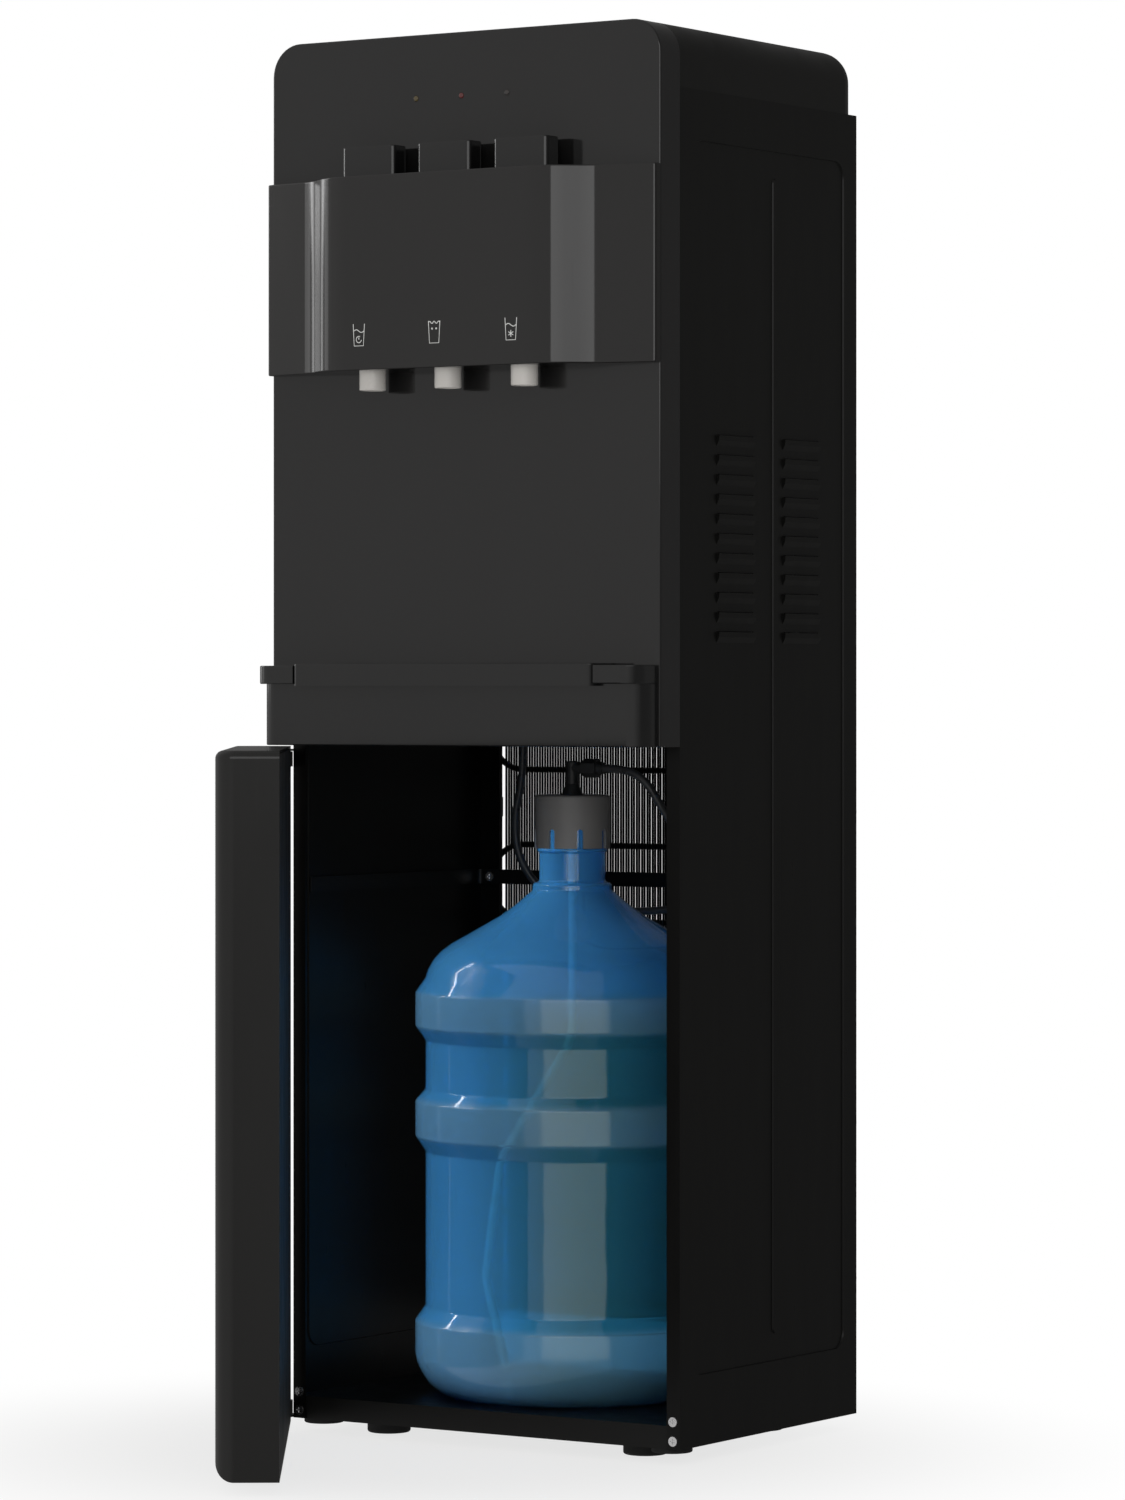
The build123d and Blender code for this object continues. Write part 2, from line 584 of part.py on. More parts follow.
with BuildPart() as hinge_pins:
    for arm_z, leaf_z, pin_z in arms:
        post(HINGE_X, HINGE_Y, pin_z, pin_z + BRACKET + PIN_REACH, HINGE_PIN_R)
hinge_pins.part.label = "hinge_pins"
export_step(hinge_pins.part, "parts/hinge_pins.step")

with BuildPart() as hinge_screws:
    for arm_z, leaf_z, pin_z in arms:
        for y in (9.5, 18.5):
            with BuildSketch(beside(-HALF - BRACKET)):
                with Locations((y, leaf_z + LEAF_HIGH / 2)):
                    Circle(2.8)
            extrude(amount=-1.2, taper=15)
hinge_screws.part.label = "hinge_screws"
export_step(hinge_screws.part, "parts/hinge_screws.step")

# ---- condenser on the back --------------------------------------------------------------------
ROW_PITCH = 63.0
ROW_COUNT = 9
ROW_LOW = 89.0
BEND_X = 145.0
WIRE_COUNT = 47
WIRE_PITCH = 7.0
WIRE_LOW = 75.0
WIRE_HIGH = 607.0

with BuildPart() as condenser_tube:
    with BuildLine(facing(CONDENSER_Y)) as serpentine:
        for row in range(ROW_COUNT):
            z = ROW_LOW + row * ROW_PITCH
            sign = 1 if row % 2 == 0 else -1
            Line((-sign * BEND_X, z), (sign * BEND_X, z))
            if row < ROW_COUNT - 1:
                ThreePointArc((sign * BEND_X, z), (sign * (BEND_X + ROW_PITCH / 2), z + ROW_PITCH / 2),
                              (sign * BEND_X, z + ROW_PITCH))
    with BuildSketch(Plane(origin=at(-BEND_X, CONDENSER_Y, ROW_LOW), z_dir=(1, 0, 0))):
        Circle(TUBE_R)
    sweep()
condenser_tube.part.label = "condenser_tube"
export_step(condenser_tube.part, "parts/condenser_tube.step")

with BuildPart() as condenser_wires:
    for layer_y in (CONDENSER_Y - TUBE_R - WIRE_R, CONDENSER_Y + TUBE_R + WIRE_R):
        with BuildSketch(level(WIRE_LOW)):
            with Locations((0, layer_y)):
                with GridLocations(WIRE_PITCH, 1, WIRE_COUNT, 1):
                    Circle(WIRE_R)
        extrude(amount=WIRE_HIGH - WIRE_LOW)
        reach = WIRE_PITCH * (WIRE_COUNT - 1) / 2 + WIRE_R
        for z in (WIRE_LOW, WIRE_HIGH - 3):
            block(-reach, reach, layer_y - 0.5, layer_y + 0.5, z, z + 3)
condenser_wires.part.label = "condenser_wires"
export_step(condenser_wires.part, "parts/condenser_wires.step")

# Clips from the rear flanges out to the ends of four tube rows.
CLIP_ROWS = (1, 6)
with BuildPart() as condenser_clips:
    for x in (-168, 168):
        for row in CLIP_ROWS:
            z = ROW_LOW + (row + 0.5) * ROW_PITCH
            block(x - 5, x + 5, DEPTH, CONDENSER_Y - TUBE_R, z - 8, z + 8)
condenser_clips.part.label = "condenser_clips"
export_step(condenser_clips.part, "parts/condenser_clips.step")

# ---- machine space: cooling, heating, pump and electrics ----------------------------------------
COMPRESSOR = (-60.0, 140.0)
COMPRESSOR_R = 60.0
DECK_TOP = DECK_Z + 1.2

with BuildPart() as compressor:
    post(*COMPRESSOR, 569, 716, COMPRESSOR_R)
    fillet(compressor.edges().group_by(Axis.Z)[-1], 34)
    fillet(compressor.edges().group_by(Axis.Z)[0], 14)
    block(COMPRESSOR[0] - 70, COMPRESSOR[0] + 70, COMPRESSOR[1] - 45, COMPRESSOR[1] + 45, 567, 571)
    post(COMPRESSOR[0] + 20, COMPRESSOR[1] - 20, 690, 732, 4)
    post(COMPRESSOR[0] - 20, COMPRESSOR[1] - 20, 690, 732, 4)
compressor.part.label = "compressor"
export_step(compressor.part, "parts/compressor.step")

with BuildPart() as compressor_mounts:
    for dx in (-62, 62):
        for dy in (-37, 37):
            post(COMPRESSOR[0] + dx, COMPRESSOR[1] + dy, DECK_TOP, 567, 7)
compressor_mounts.part.label = "compressor_mounts"
export_step(compressor_mounts.part, "parts/compressor_mounts.step")

PUMP = (100.0, 120.0)
with BuildPart() as water_pump:
    with BuildSketch(beside(PUMP[0] - 35)):
        with Locations((PUMP[1], 582)):
            Circle(19)
    extrude(amount=70)
    block(PUMP[0] - 45, PUMP[0] - 35, PUMP[1] - 22, PUMP[1] + 22, DECK_TOP, 606)
    block(PUMP[0] - 35, PUMP[0] + 35, PUMP[1] - 15, PUMP[1] + 15, DECK_TOP, 568)
    post(PUMP[0] - 40, PUMP[1], 606, 622, 4)
water_pump.part.label = "water_pump"
export_step(water_pump.part, "parts/water_pump.step")

TANK_Y = 130.0
HOT = (-TAP_PITCH, 46.0, 790.0, 960.0)
COLD = (TAP_PITCH, 58.0, 790.0, 950.0)
COIL_R = 61.5
JACKET_WALL = 15.0

for name, (x, radius, low, high) in (("hot_tank", HOT), ("cold_tank", COLD)):
    with BuildPart() as tank:
        post(x, TANK_Y, low, high, radius)
        fillet(tank.edges().filter_by(GeomType.CIRCLE), 12)
    tank.part.label = name
    export_step(tank.part, f"parts/{name}.step")

with BuildPart() as evaporator_coil:
    with BuildLine(level(812)):
        turns = Helix(pitch=9, height=63, radius=COIL_R, center=(COLD[0], TANK_Y, 0))
    with BuildSketch(Plane(origin=turns @ 0, z_dir=turns % 0)):
        Circle(2.8)
    sweep(path=turns, is_frenet=True)
evaporator_coil.part.label = "evaporator_coil"
export_step(evaporator_coil.part, "parts/evaporator_coil.step")

for name, (x, radius, low, high), inner in (("hot_tank_jacket", HOT, HOT[1] + 0.5),
                                            ("cold_tank_jacket", COLD, COIL_R + 3.5)):
    with BuildPart() as jacket:
        post(x, TANK_Y, low + 14, high - 14, inner + JACKET_WALL)
        post(x, TANK_Y, low, high, inner, mode=Mode.SUBTRACT)
        with BuildSketch(facing(0)):
            with Locations((x, PIPE_Z)):
                Circle(PIPE_R + 0.5)
        extrude(amount=-TANK_Y + 10, mode=Mode.SUBTRACT)
    jacket.part.label = name
    export_step(jacket.part, f"parts/{name}.step")

MANIFOLD_Y = 40.0
pipe_ends = (TANK_Y - HOT[1], MANIFOLD_Y - 10, TANK_Y - COLD[1])
with BuildPart() as tap_pipes:
    for (side, x), back in zip(TAPS, pipe_ends):
        with BuildSketch(facing(back)):
            with Locations((x, PIPE_Z)):
                Circle(PIPE_R)
                Circle(PIPE_R - 2, mode=Mode.SUBTRACT)
        extrude(amount=back + 20)
tap_pipes.part.label = "tap_pipes"
export_step(tap_pipes.part, "parts/tap_pipes.step")

with BuildPart() as water_manifold:
    block(-12, 12, MANIFOLD_Y - 10, MANIFOLD_Y + 10, 886, 912)
    for x0, x1 in ((-TAP_PITCH + PIPE_R + 0.1, -12), (12, TAP_PITCH - PIPE_R - 0.1)):
        with BuildSketch(beside(x0)):
            with Locations((MANIFOLD_Y, PIPE_Z)):
                Circle(4)
        extrude(amount=x1 - x0)
water_manifold.part.label = "water_manifold"
export_step(water_manifold.part, "parts/water_manifold.step")

SUPPLY_R = 4.0
with BuildPart() as supply_pipe:
    with BuildLine() as supply_route:
        FilletPolyline(at(PUMP[0] - 40, PUMP[1], 622), at(PUMP[0] - 40, PUMP[1], 700),
                       at(0, MANIFOLD_Y, 780), at(0, MANIFOLD_Y, 886), radius=40)
    with BuildSketch(Plane(origin=at(PUMP[0] - 40, PUMP[1], 622), z_dir=(0, 0, 1))):
        Circle(SUPPLY_R)
    sweep()
supply_pipe.part.label = "supply_pipe"
export_step(supply_pipe.part, "parts/supply_pipe.step")

with BuildPart() as control_board:
    block(-60, 60, DEPTH - 12, DEPTH - 10.4, 975, 1045)
    block(-40, 0, DEPTH - 30, DEPTH - 12, 985, 1020)
    block(20, 34, DEPTH - 24, DEPTH - 12, 990, 1004)
control_board.part.label = "control_board"
export_step(control_board.part, "parts/control_board.step")

# ---- on the back: rocker switches, drains and cord inlet ------------------------------------------
ROCKER_R = 9.5
ROCKER_TILT = 10.0
ROCKER_Y = DEPTH - 3.0
with BuildPart() as switch_housings:
    for x in SWITCH_X:
        block(x - 8.5, x + 8.5, DEPTH + SHEET, DEPTH + SHEET + 1.5, SWITCH_Z - 15, SWITCH_Z + 15)
        block(x - 6.4, x + 6.4, DEPTH - 16, DEPTH + SHEET, SWITCH_Z - 12.4, SWITCH_Z + 12.4)
        block(x - 5.2, x + 5.2, DEPTH - 14, DEPTH + SHEET + 2, SWITCH_Z - 10.4, SWITCH_Z + 10.4,
              mode=Mode.SUBTRACT)
switch_housings.part.label = "switch_housings"
export_step(switch_housings.part, "parts/switch_housings.step")

for name, x in zip(("cooling_rocker", "heating_rocker"), SWITCH_X):
    with BuildPart() as rocker:
        with BuildSketch(beside(x - 4.8)):
            with Locations(Location((ROCKER_Y, SWITCH_Z), -ROCKER_TILT)):
                Circle(ROCKER_R)
                with Locations((ROCKER_R + 6.5, 0)):
                    Circle(10.5, mode=Mode.SUBTRACT)
                with Locations((-ROCKER_R, 0)):
                    Rectangle(2 * ROCKER_R, 3 * ROCKER_R, mode=Mode.SUBTRACT)
        extrude(amount=9.6)
    rocker.part.label = name
    export_step(rocker.part, f"parts/{name}.step")

with BuildPart() as drain_caps:
    for x in DRAIN_X:
        with BuildSketch(facing(DEPTH + SHEET)):
            with Locations((x, DRAIN_Z)):
                RegularPolygon(10, 8)
        extrude(amount=-8)
        with BuildSketch(facing(DEPTH + SHEET)):
            with Locations((x, DRAIN_Z)):
                Circle(6.8)
        extrude(amount=14)
drain_caps.part.label = "drain_caps"
export_step(drain_caps.part, "parts/drain_caps.step")

with BuildPart() as cord_inlet:
    with BuildSketch(facing(DEPTH + SHEET)):
        with Locations(GLAND):
            Circle(10)
    extrude(amount=-4)
    with BuildSketch(facing(DEPTH + SHEET)):
        with Locations(GLAND):
            Circle(6.8)
    extrude(amount=10)
    with BuildSketch(facing(DEPTH + SHEET + 4)):
        with Locations(GLAND):
            Circle(4)
    extrude(amount=20, mode=Mode.SUBTRACT)
    fillet(cord_inlet.edges().filter_by(GeomType.CIRCLE).sort_by(Axis.Y)[-1], 0.8)
cord_inlet.part.label = "cord_inlet"
export_step(cord_inlet.part, "parts/cord_inlet.step")

# ---- bottle, probe cap, elbow, dip tube and hose ---------------------------------------------------
BOTTLE_WALL = 1.8
BAND_R = 126.5
BODY_R = 118.2
NECK_R = 26.6
BOTTLE_LIP = 506.0

with BuildPart() as water_bottle:
    with BuildSketch(beside(0)):
        with BuildLine():
            base = ThreePointArc((BOTTLE_Y + 96, PAN_TOP), (BOTTLE_Y + 116, PAN_TOP + 9), (BOTTLE_Y + BAND_R, 62))
            wall = Polyline(
                base @ 1,
                (BOTTLE_Y + BAND_R, 90), (BOTTLE_Y + BODY_R, 102),
                (BOTTLE_Y + BODY_R, 226), (BOTTLE_Y + BAND_R, 238.5),
                (BOTTLE_Y + BAND_R, 266.5), (BOTTLE_Y + BODY_R, 276),
                (BOTTLE_Y + BODY_R, 315), (BOTTLE_Y + BAND_R, 327),
                (BOTTLE_Y + BAND_R, 353.5), (BOTTLE_Y + BODY_R, 365.5),
            )
            shoulder = Spline(
                wall @ 1, (BOTTLE_Y + 107, 385.6), (BOTTLE_Y + 86, 399), (BOTTLE_Y + 58, 415),
                (BOTTLE_Y + 34, 433.7), (BOTTLE_Y + NECK_R, 449),
                tangents=((0, 1), (0, 1)),
            )
            Polyline(shoulder @ 1, (BOTTLE_Y + NECK_R, BOTTLE_LIP),
                     (BOTTLE_Y, BOTTLE_LIP), (BOTTLE_Y, PAN_TOP), base @ 0)
        make_face()
    revolve(axis=Axis(origin=at(0, BOTTLE_Y, 0), direction=(0, 0, 1)))
    offset(amount=-BOTTLE_WALL, openings=water_bottle.faces().sort_by(Axis.Z)[-1])
water_bottle.part.label = "water_bottle"
export_step(water_bottle.part, "parts/water_bottle.step")

CAP_LOW = 469.6
CAP_HIGH = 512.3
CAP_R = 30.5
with BuildPart() as probe_cap:
    post(0, BOTTLE_Y, CAP_LOW, CAP_HIGH, CAP_R)
    fillet(probe_cap.edges().group_by(Axis.Z)[-1], 2)
    post(0, BOTTLE_Y, CAP_LOW, CAP_HIGH - WALL, CAP_R - WALL, mode=Mode.SUBTRACT)
    post(0, BOTTLE_Y, CAP_LOW, CAP_HIGH, 4.5, mode=Mode.SUBTRACT)
    for turn in (0, 45, 90, 135):
        out_x, out_y = cos(radians(turn)), sin(radians(turn))
        with BuildSketch(Plane(origin=at(0, BOTTLE_Y, CAP_LOW), x_dir=(-out_y, out_x, 0), z_dir=(out_x, out_y, 0))):
            SlotOverall(31, 5.2, rotation=90)
        extrude(amount=CAP_R + 2, both=True, mode=Mode.SUBTRACT)
probe_cap.part.label = "probe_cap"
export_step(probe_cap.part, "parts/probe_cap.step")

ELBOW_Z = 534.0
ELBOW_OUT = 30.0
NUT_X = (11.5, 25.0)
with BuildPart() as probe_elbow:
    with Locations(at(0, BOTTLE_Y, CAP_HIGH)):
        Cone(9.2, 5, 9, align=(Align.CENTER, Align.CENTER, Align.MIN))
    post(0, BOTTLE_Y, CAP_HIGH, ELBOW_Z + 5.6, 5)
    fillet(probe_elbow.edges().group_by(Axis.Z)[-1], 1.5)
    with BuildSketch(beside(0)):
        with Locations((BOTTLE_Y, ELBOW_Z)):
            Circle(4.6)
    extrude(amount=ELBOW_OUT)
    with BuildSketch(beside(NUT_X[0])):
        with Locations((BOTTLE_Y, ELBOW_Z)):
            RegularPolygon(7.6, 6, rotation=30)
    extrude(amount=NUT_X[1] - NUT_X[0])
probe_elbow.part.label = "probe_elbow"
export_step(probe_elbow.part, "parts/probe_elbow.step")

# Suction tube: straight down from the cap, then leaning away to the bottle's left.
DIP_R = 3.2
with BuildPart() as dip_tube:
    with BuildLine() as dip_route:
        FilletPolyline(at(0, BOTTLE_Y, CAP_HIGH), at(0, BOTTLE_Y, 318), at(-62, BOTTLE_Y - 12, 216),
                       at(-78, BOTTLE_Y - 10, 120), at(-64, BOTTLE_Y, 48), radius=40)
    with BuildSketch(Plane(origin=at(0, BOTTLE_Y, CAP_HIGH), z_dir=(0, 0, -1))):
        Circle(DIP_R)
    sweep()
dip_tube.part.label = "dip_tube"
export_step(dip_tube.part, "parts/dip_tube.step")

# Water hose: from the elbow's nut out to the right, round behind the bottle's neck, up to the deck.
HOSE_R = 3.2
HOSE_ROUTE = [
    (30, 130, 534), (47, 130, 534), (67, 132, 526.5), (79, 140, 503), (88, 158, 473), (90, 187, 442),
    (64, 215, 421), (9, 227, 415), (-40, 224, 415), (-80, 212, 427), (-100, 202, 456), (-103, 200, 492),
    (-94, 200, 524), (-94, 200, 551),
]
FITTING_LOW = 551.0


def cord_radii(points):
    """Arc radius at each inner corner: 0.45 of the shorter run over the tangent of half the turn."""
    radii = []
    for before, here, after in zip(points, points[1:], points[2:]):
        into = Vector(*here) - Vector(*before)
        out = Vector(*after) - Vector(*here)
        turn = radians(into.get_angle(out))
        radii.append(0.45 * min(into.length, out.length) * cos(turn / 2) / sin(turn / 2))
    return radii


hose_points = [at(*point) for point in HOSE_ROUTE]
hose_radii = cord_radii(hose_points)
with BuildPart() as water_hose:
    with BuildLine() as hose_line:
        FilletPolyline(*hose_points, radius=hose_radii)
    with BuildSketch(Plane(origin=hose_points[0], z_dir=Vector(*hose_points[1]) - Vector(*hose_points[0]))):
        Circle(HOSE_R)
    sweep()
water_hose.part.label = "water_hose"
export_step(water_hose.part, "parts/water_hose.step")

with BuildPart() as deck_fitting:
    post(HOSE_X, HOSE_Y, FITTING_LOW, DECK_Z + 9, 6)
    post(HOSE_X, HOSE_Y, FITTING_LOW, DECK_Z, 9)
    post(HOSE_X, HOSE_Y, DECK_TOP, DECK_TOP + 4, 9)
deck_fitting.part.label = "deck_fitting"
export_step(deck_fitting.part, "parts/deck_fitting.step")

hose_length = hose_line.wires()[0].length
section_volume = pi * HOSE_R ** 2 * hose_length
print("hose radii", [round(r) for r in hose_radii], "length", round(hose_length, 1))
print("hose volume over section times length", round(water_hose.part.volume / section_volume, 4))
print("cabinet frame at", CABINET_X, CABINET_Y)
print("hinge at", at(HINGE_X, HINGE_Y, 0))
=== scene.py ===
from math import cos, pi, radians, sin

import bpy
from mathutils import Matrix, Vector


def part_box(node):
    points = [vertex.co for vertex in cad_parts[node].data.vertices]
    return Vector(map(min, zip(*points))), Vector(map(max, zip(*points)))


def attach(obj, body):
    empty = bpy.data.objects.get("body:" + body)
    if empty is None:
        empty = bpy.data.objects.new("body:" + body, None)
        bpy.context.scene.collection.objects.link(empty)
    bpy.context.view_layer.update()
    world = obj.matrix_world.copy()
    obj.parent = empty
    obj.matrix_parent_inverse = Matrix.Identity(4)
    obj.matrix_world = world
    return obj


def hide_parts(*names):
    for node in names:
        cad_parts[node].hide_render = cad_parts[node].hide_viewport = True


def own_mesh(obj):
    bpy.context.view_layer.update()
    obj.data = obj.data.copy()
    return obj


# Floor-standing water dispenser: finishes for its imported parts, and the pieces that get a finer shape.
# Everything is in metres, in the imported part's frame.

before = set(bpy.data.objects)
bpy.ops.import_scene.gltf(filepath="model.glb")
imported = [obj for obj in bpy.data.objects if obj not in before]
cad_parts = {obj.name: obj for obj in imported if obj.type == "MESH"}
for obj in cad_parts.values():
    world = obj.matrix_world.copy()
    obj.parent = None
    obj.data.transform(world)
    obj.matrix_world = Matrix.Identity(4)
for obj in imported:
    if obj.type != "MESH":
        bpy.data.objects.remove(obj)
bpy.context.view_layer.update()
MM = 0.001

panel_low, panel_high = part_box("front_panel")
CENTRE_X = (panel_low.x + panel_high.x) / 2
FRONT_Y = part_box("side_panel_right")[0].y       # front edge of the side panels
bottle_low, bottle_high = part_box("water_bottle")
BOTTLE_X = (bottle_low.x + bottle_high.x) / 2
BOTTLE_Y = (bottle_low.y + bottle_high.y) / 2


def at(x, y, z):
    """A point in millimetres from the cabinet's centre line, the side panels' front edge and the floor."""
    return Vector((CENTRE_X + x * MM, FRONT_Y + y * MM, z * MM))


# ---- camera, floor and light ------------------------------------------------------------------
scene = bpy.context.scene
scene.view_settings.view_transform = "Standard"

FOCAL_LENGTH = 136.62
LENS_SHIFT = -0.0408
CAMERA_SPOT = (2.51776, -3.69685, 0.59776)
CAMERA_TURN = 33.1145           # degrees round from the front; the lens itself is level
lens = bpy.data.cameras.new("camera")
lens.lens = FOCAL_LENGTH
lens.shift_y = LENS_SHIFT
camera = bpy.data.objects.new("camera", lens)
camera.location = CAMERA_SPOT
camera.rotation_euler = (pi / 2, 0, radians(CAMERA_TURN))
scene.collection.objects.link(camera)
scene.camera = camera


# ---- shader building --------------------------------------------------------------------------
class Wire:
    """A shader socket that takes Python's arithmetic; each operator adds one Math node."""

    def __init__(self, tree, socket):
        self.tree = tree
        self.socket = socket

    def math(self, operation, *terms):
        node = self.tree.nodes.new("ShaderNodeMath")
        node.operation = operation
        for entry, term in zip(node.inputs, terms):
            plug(self.tree, entry, term)
        return Wire(self.tree, node.outputs[0])

    def __add__(self, other):
        return self.math("ADD", self, other)

    def __radd__(self, other):
        return self.math("ADD", other, self)

    def __sub__(self, other):
        return self.math("SUBTRACT", self, other)

    def __rsub__(self, other):
        return self.math("SUBTRACT", other, self)

    def __mul__(self, other):
        return self.math("MULTIPLY", self, other)

    def __rmul__(self, other):
        return self.math("MULTIPLY", other, self)

    def above(self, limit):
        return self.math("GREATER_THAN", self, limit)

    def below(self, limit):
        return self.math("LESS_THAN", self, limit)


def plug(tree, entry, value):
    """Links a wire to a socket, or sets the socket's own value."""
    if isinstance(value, Wire):
        tree.links.new(value.socket, entry)
    elif isinstance(value, (tuple, list)) and len(entry.default_value) == 4 and len(value) == 3:
        entry.default_value = (*value, 1)
    else:
        entry.default_value = value


class Finish:
    """A material, its shader and the nodes that feed it."""

    def __init__(self, name, colour, roughness, **sockets):
        self.material = bpy.data.materials.new(name)
        self.material.use_nodes = True
        self.tree = self.material.node_tree
        self.shader = self.tree.nodes["Principled BSDF"]
        self.set("Base Color", colour)
        self.set("Roughness", roughness)
        for key, value in sockets.items():
            self.set(key.replace("_", " "), value)

    def set(self, name, value):
        plug(self.tree, self.shader.inputs[name], value)

    def node(self, kind, settings=None, sockets=None, out=0):
        """Any other node: its type, its settings, its sockets' values or wires, and which output to use."""
        node = self.tree.nodes.new(kind)
        for key, value in (settings or {}).items():
            if key == "stops":
                ramp = node.color_ramp
                while len(ramp.elements) < len(value):
                    ramp.elements.new(0.5)
                for element, (position, colour) in zip(ramp.elements, value):
                    element.position = position
                    element.color = (*colour, 1)
            else:
                setattr(node, key, value)
        for key, value in (sockets or {}).items():
            plug(self.tree, node.inputs[key], value)
        return Wire(self.tree, node.outputs[out])

    def place(self, stretch=(1, 1, 1)):
        """The piece's own coordinates in metres, stretched along its axes."""
        point = self.node("ShaderNodeTexCoord", out="Object")
        if stretch == (1, 1, 1):
            return point
        return self.node("ShaderNodeMapping", {"vector_type": "POINT"}, {"Vector": point, "Scale": stretch})

    def axis(self, name):
        return self.node("ShaderNodeSeparateXYZ", None, {0: self.place()}, name)

    def noise(self, scale, detail=3, stretch=(1, 1, 1), roughness=0.5):
        return self.node("ShaderNodeTexNoise", None, {
            "Vector": self.place(stretch), "Scale": scale, "Detail": detail, "Roughness": roughness}, "Fac")

    def cells(self, scale):
        return self.node("ShaderNodeTexVoronoi", None, {"Vector": self.place(), "Scale": scale}, "Distance")

    def ramp(self, value, low, high, out_low=0.0, out_high=1.0):
        """value from low to high becomes out_low to out_high, and stays there outside."""
        return self.node("ShaderNodeMapRange", {"clamp": True, "interpolation_type": "SMOOTHSTEP"}, {
            0: value, 1: low, 2: high, 3: out_low, 4: out_high})

    def mix(self, factor, first, second):
        return self.node("ShaderNodeMix", {"data_type": "RGBA"}, {0: factor, 6: first, 7: second}, 2)

    def bump(self, height, depth, strength=1.0, under=None):
        sockets = {"Height": height, "Distance": depth, "Strength": strength}
        if under is not None:
            sockets["Normal"] = under
        return self.node("ShaderNodeBump", None, sockets)


def tint(colour, factor):
    return tuple(channel * factor for channel in colour)


def gloss_finish(name, colour, roughness=0.07, peel=1.0, specular=0.5):
    """Polished moulded plastic: a faint orange peel, wiped smears, hairlines and a little dust."""
    finish = Finish(name, colour, roughness, IOR=1.5, Specular_IOR_Level=specular)
    smear = finish.noise(9, 4, (1, 1, 0.35))
    hairline = finish.noise(420, 2, (1, 1, 0.02))
    finish.set("Roughness", finish.ramp(smear, 0.42, 0.75, roughness, roughness + 0.07)
               + finish.ramp(hairline, 0.66, 0.8, 0.0, 0.08))
    dust = finish.cells(310).below(0.045) * finish.noise(14).above(0.56)
    finish.set("Base Color", finish.mix(
        dust * 0.35, finish.mix(smear, tint(colour, 0.85), tint(colour, 1.2)), (0.16, 0.155, 0.15)))
    finish.set("Normal", finish.bump(finish.noise(95, 2), 0.00004 * peel, 0.35))
    return finish.material


def moulded_finish(name, colour, roughness=0.45, grain=1.0, specular=0.4):
    """Fine-sparked moulded plastic."""
    finish = Finish(name, colour, roughness, Specular_IOR_Level=specular)
    cloud = finish.noise(22, 4)
    finish.set("Base Color", finish.mix(cloud, tint(colour, 0.86), tint(colour, 1.16)))
    finish.set("Roughness", finish.ramp(cloud, 0.3, 0.7, roughness - 0.05, roughness + 0.07))
    finish.set("Normal", finish.bump(finish.noise(1900, 2), 0.00005 * grain, 0.5))
    return finish.material


def painted_finish(name, colour, roughness=0.4, specular=0.3, painted_shade_fall=None):
    """Powder paint on sheet steel: fine grain, gentle waves and a few rubbed marks.

    painted_shade_fall gives the two heights between which a painted shade darkens the paint downwards, and by
    how much."""
    finish = Finish(name, colour, roughness, Specular_IOR_Level=specular)
    grain = finish.noise(1500, 3)
    wave = finish.noise(6, 2)
    rub = finish.noise(55, 6, (1, 1, 0.15), 0.65)
    shade = finish.mix(wave, tint(colour, 0.85), tint(colour, 1.15))
    # Painted shade: the paint is darkened towards the floor, standing in for the light that falls off low down.
    if painted_shade_fall:
        low, high, dark = painted_shade_fall
        height = finish.ramp(finish.axis("Z"), low, high)
        shade = finish.mix(height, tint(colour, dark), shade)
    finish.set("Base Color", finish.mix(finish.ramp(rub, 0.68, 0.82, 0, 0.5), shade, tint(colour, 2.6)))
    finish.set("Roughness", finish.ramp(rub, 0.35, 0.8, roughness, roughness - 0.1))
    finish.set("Normal", finish.bump(grain, 0.00006, 0.5, finish.bump(wave, 0.0006, 0.12)))
    return finish.material


def metal_finish(name, colour, roughness=0.28, stretch=(1, 1, 0.02), tarnish=0.25):
    """Bare metal with drawn lines along one way and a light tarnish."""
    finish = Finish(name, colour, roughness, Metallic=1.0)
    lines = finish.noise(900, 3, stretch)
    stain = finish.noise(30, 5, roughness=0.6)
    finish.set("Base Color", finish.mix(finish.ramp(stain, 0.45, 0.8, 0, tarnish), colour, tint(colour, 0.45)))
    finish.set("Roughness", finish.ramp(lines, 0.3, 0.7, roughness - 0.08, roughness + 0.12))
    finish.set("Normal", finish.bump(lines, 0.00002, 0.5))
    return finish.material


def rubber_finish(name, colour, roughness=0.7):
    finish = Finish(name, colour, roughness, Specular_IOR_Level=0.25)
    scuff = finish.noise(120, 5, roughness=0.7)
    finish.set("Base Color", finish.mix(finish.ramp(scuff, 0.5, 0.8, 0, 0.6), colour, tint(colour, 2.4)))
    finish.set("Roughness", finish.ramp(scuff, 0.3, 0.8, roughness - 0.08, roughness + 0.12))
    finish.set("Normal", finish.bump(finish.noise(1300, 3), 0.00008, 0.6))
    return finish.material


def foam_finish(name, colour):
    finish = Finish(name, colour, 0.85, Specular_IOR_Level=0.2)
    cell = finish.cells(420)
    finish.set("Base Color", finish.mix(finish.ramp(cell, 0.0, 0.6), tint(colour, 0.75), tint(colour, 1.1)))
    finish.set("Roughness", finish.ramp(cell, 0, 0.7, 0.9, 0.72))
    finish.set("Normal", finish.bump(cell, 0.0006, 0.5))
    return finish.material


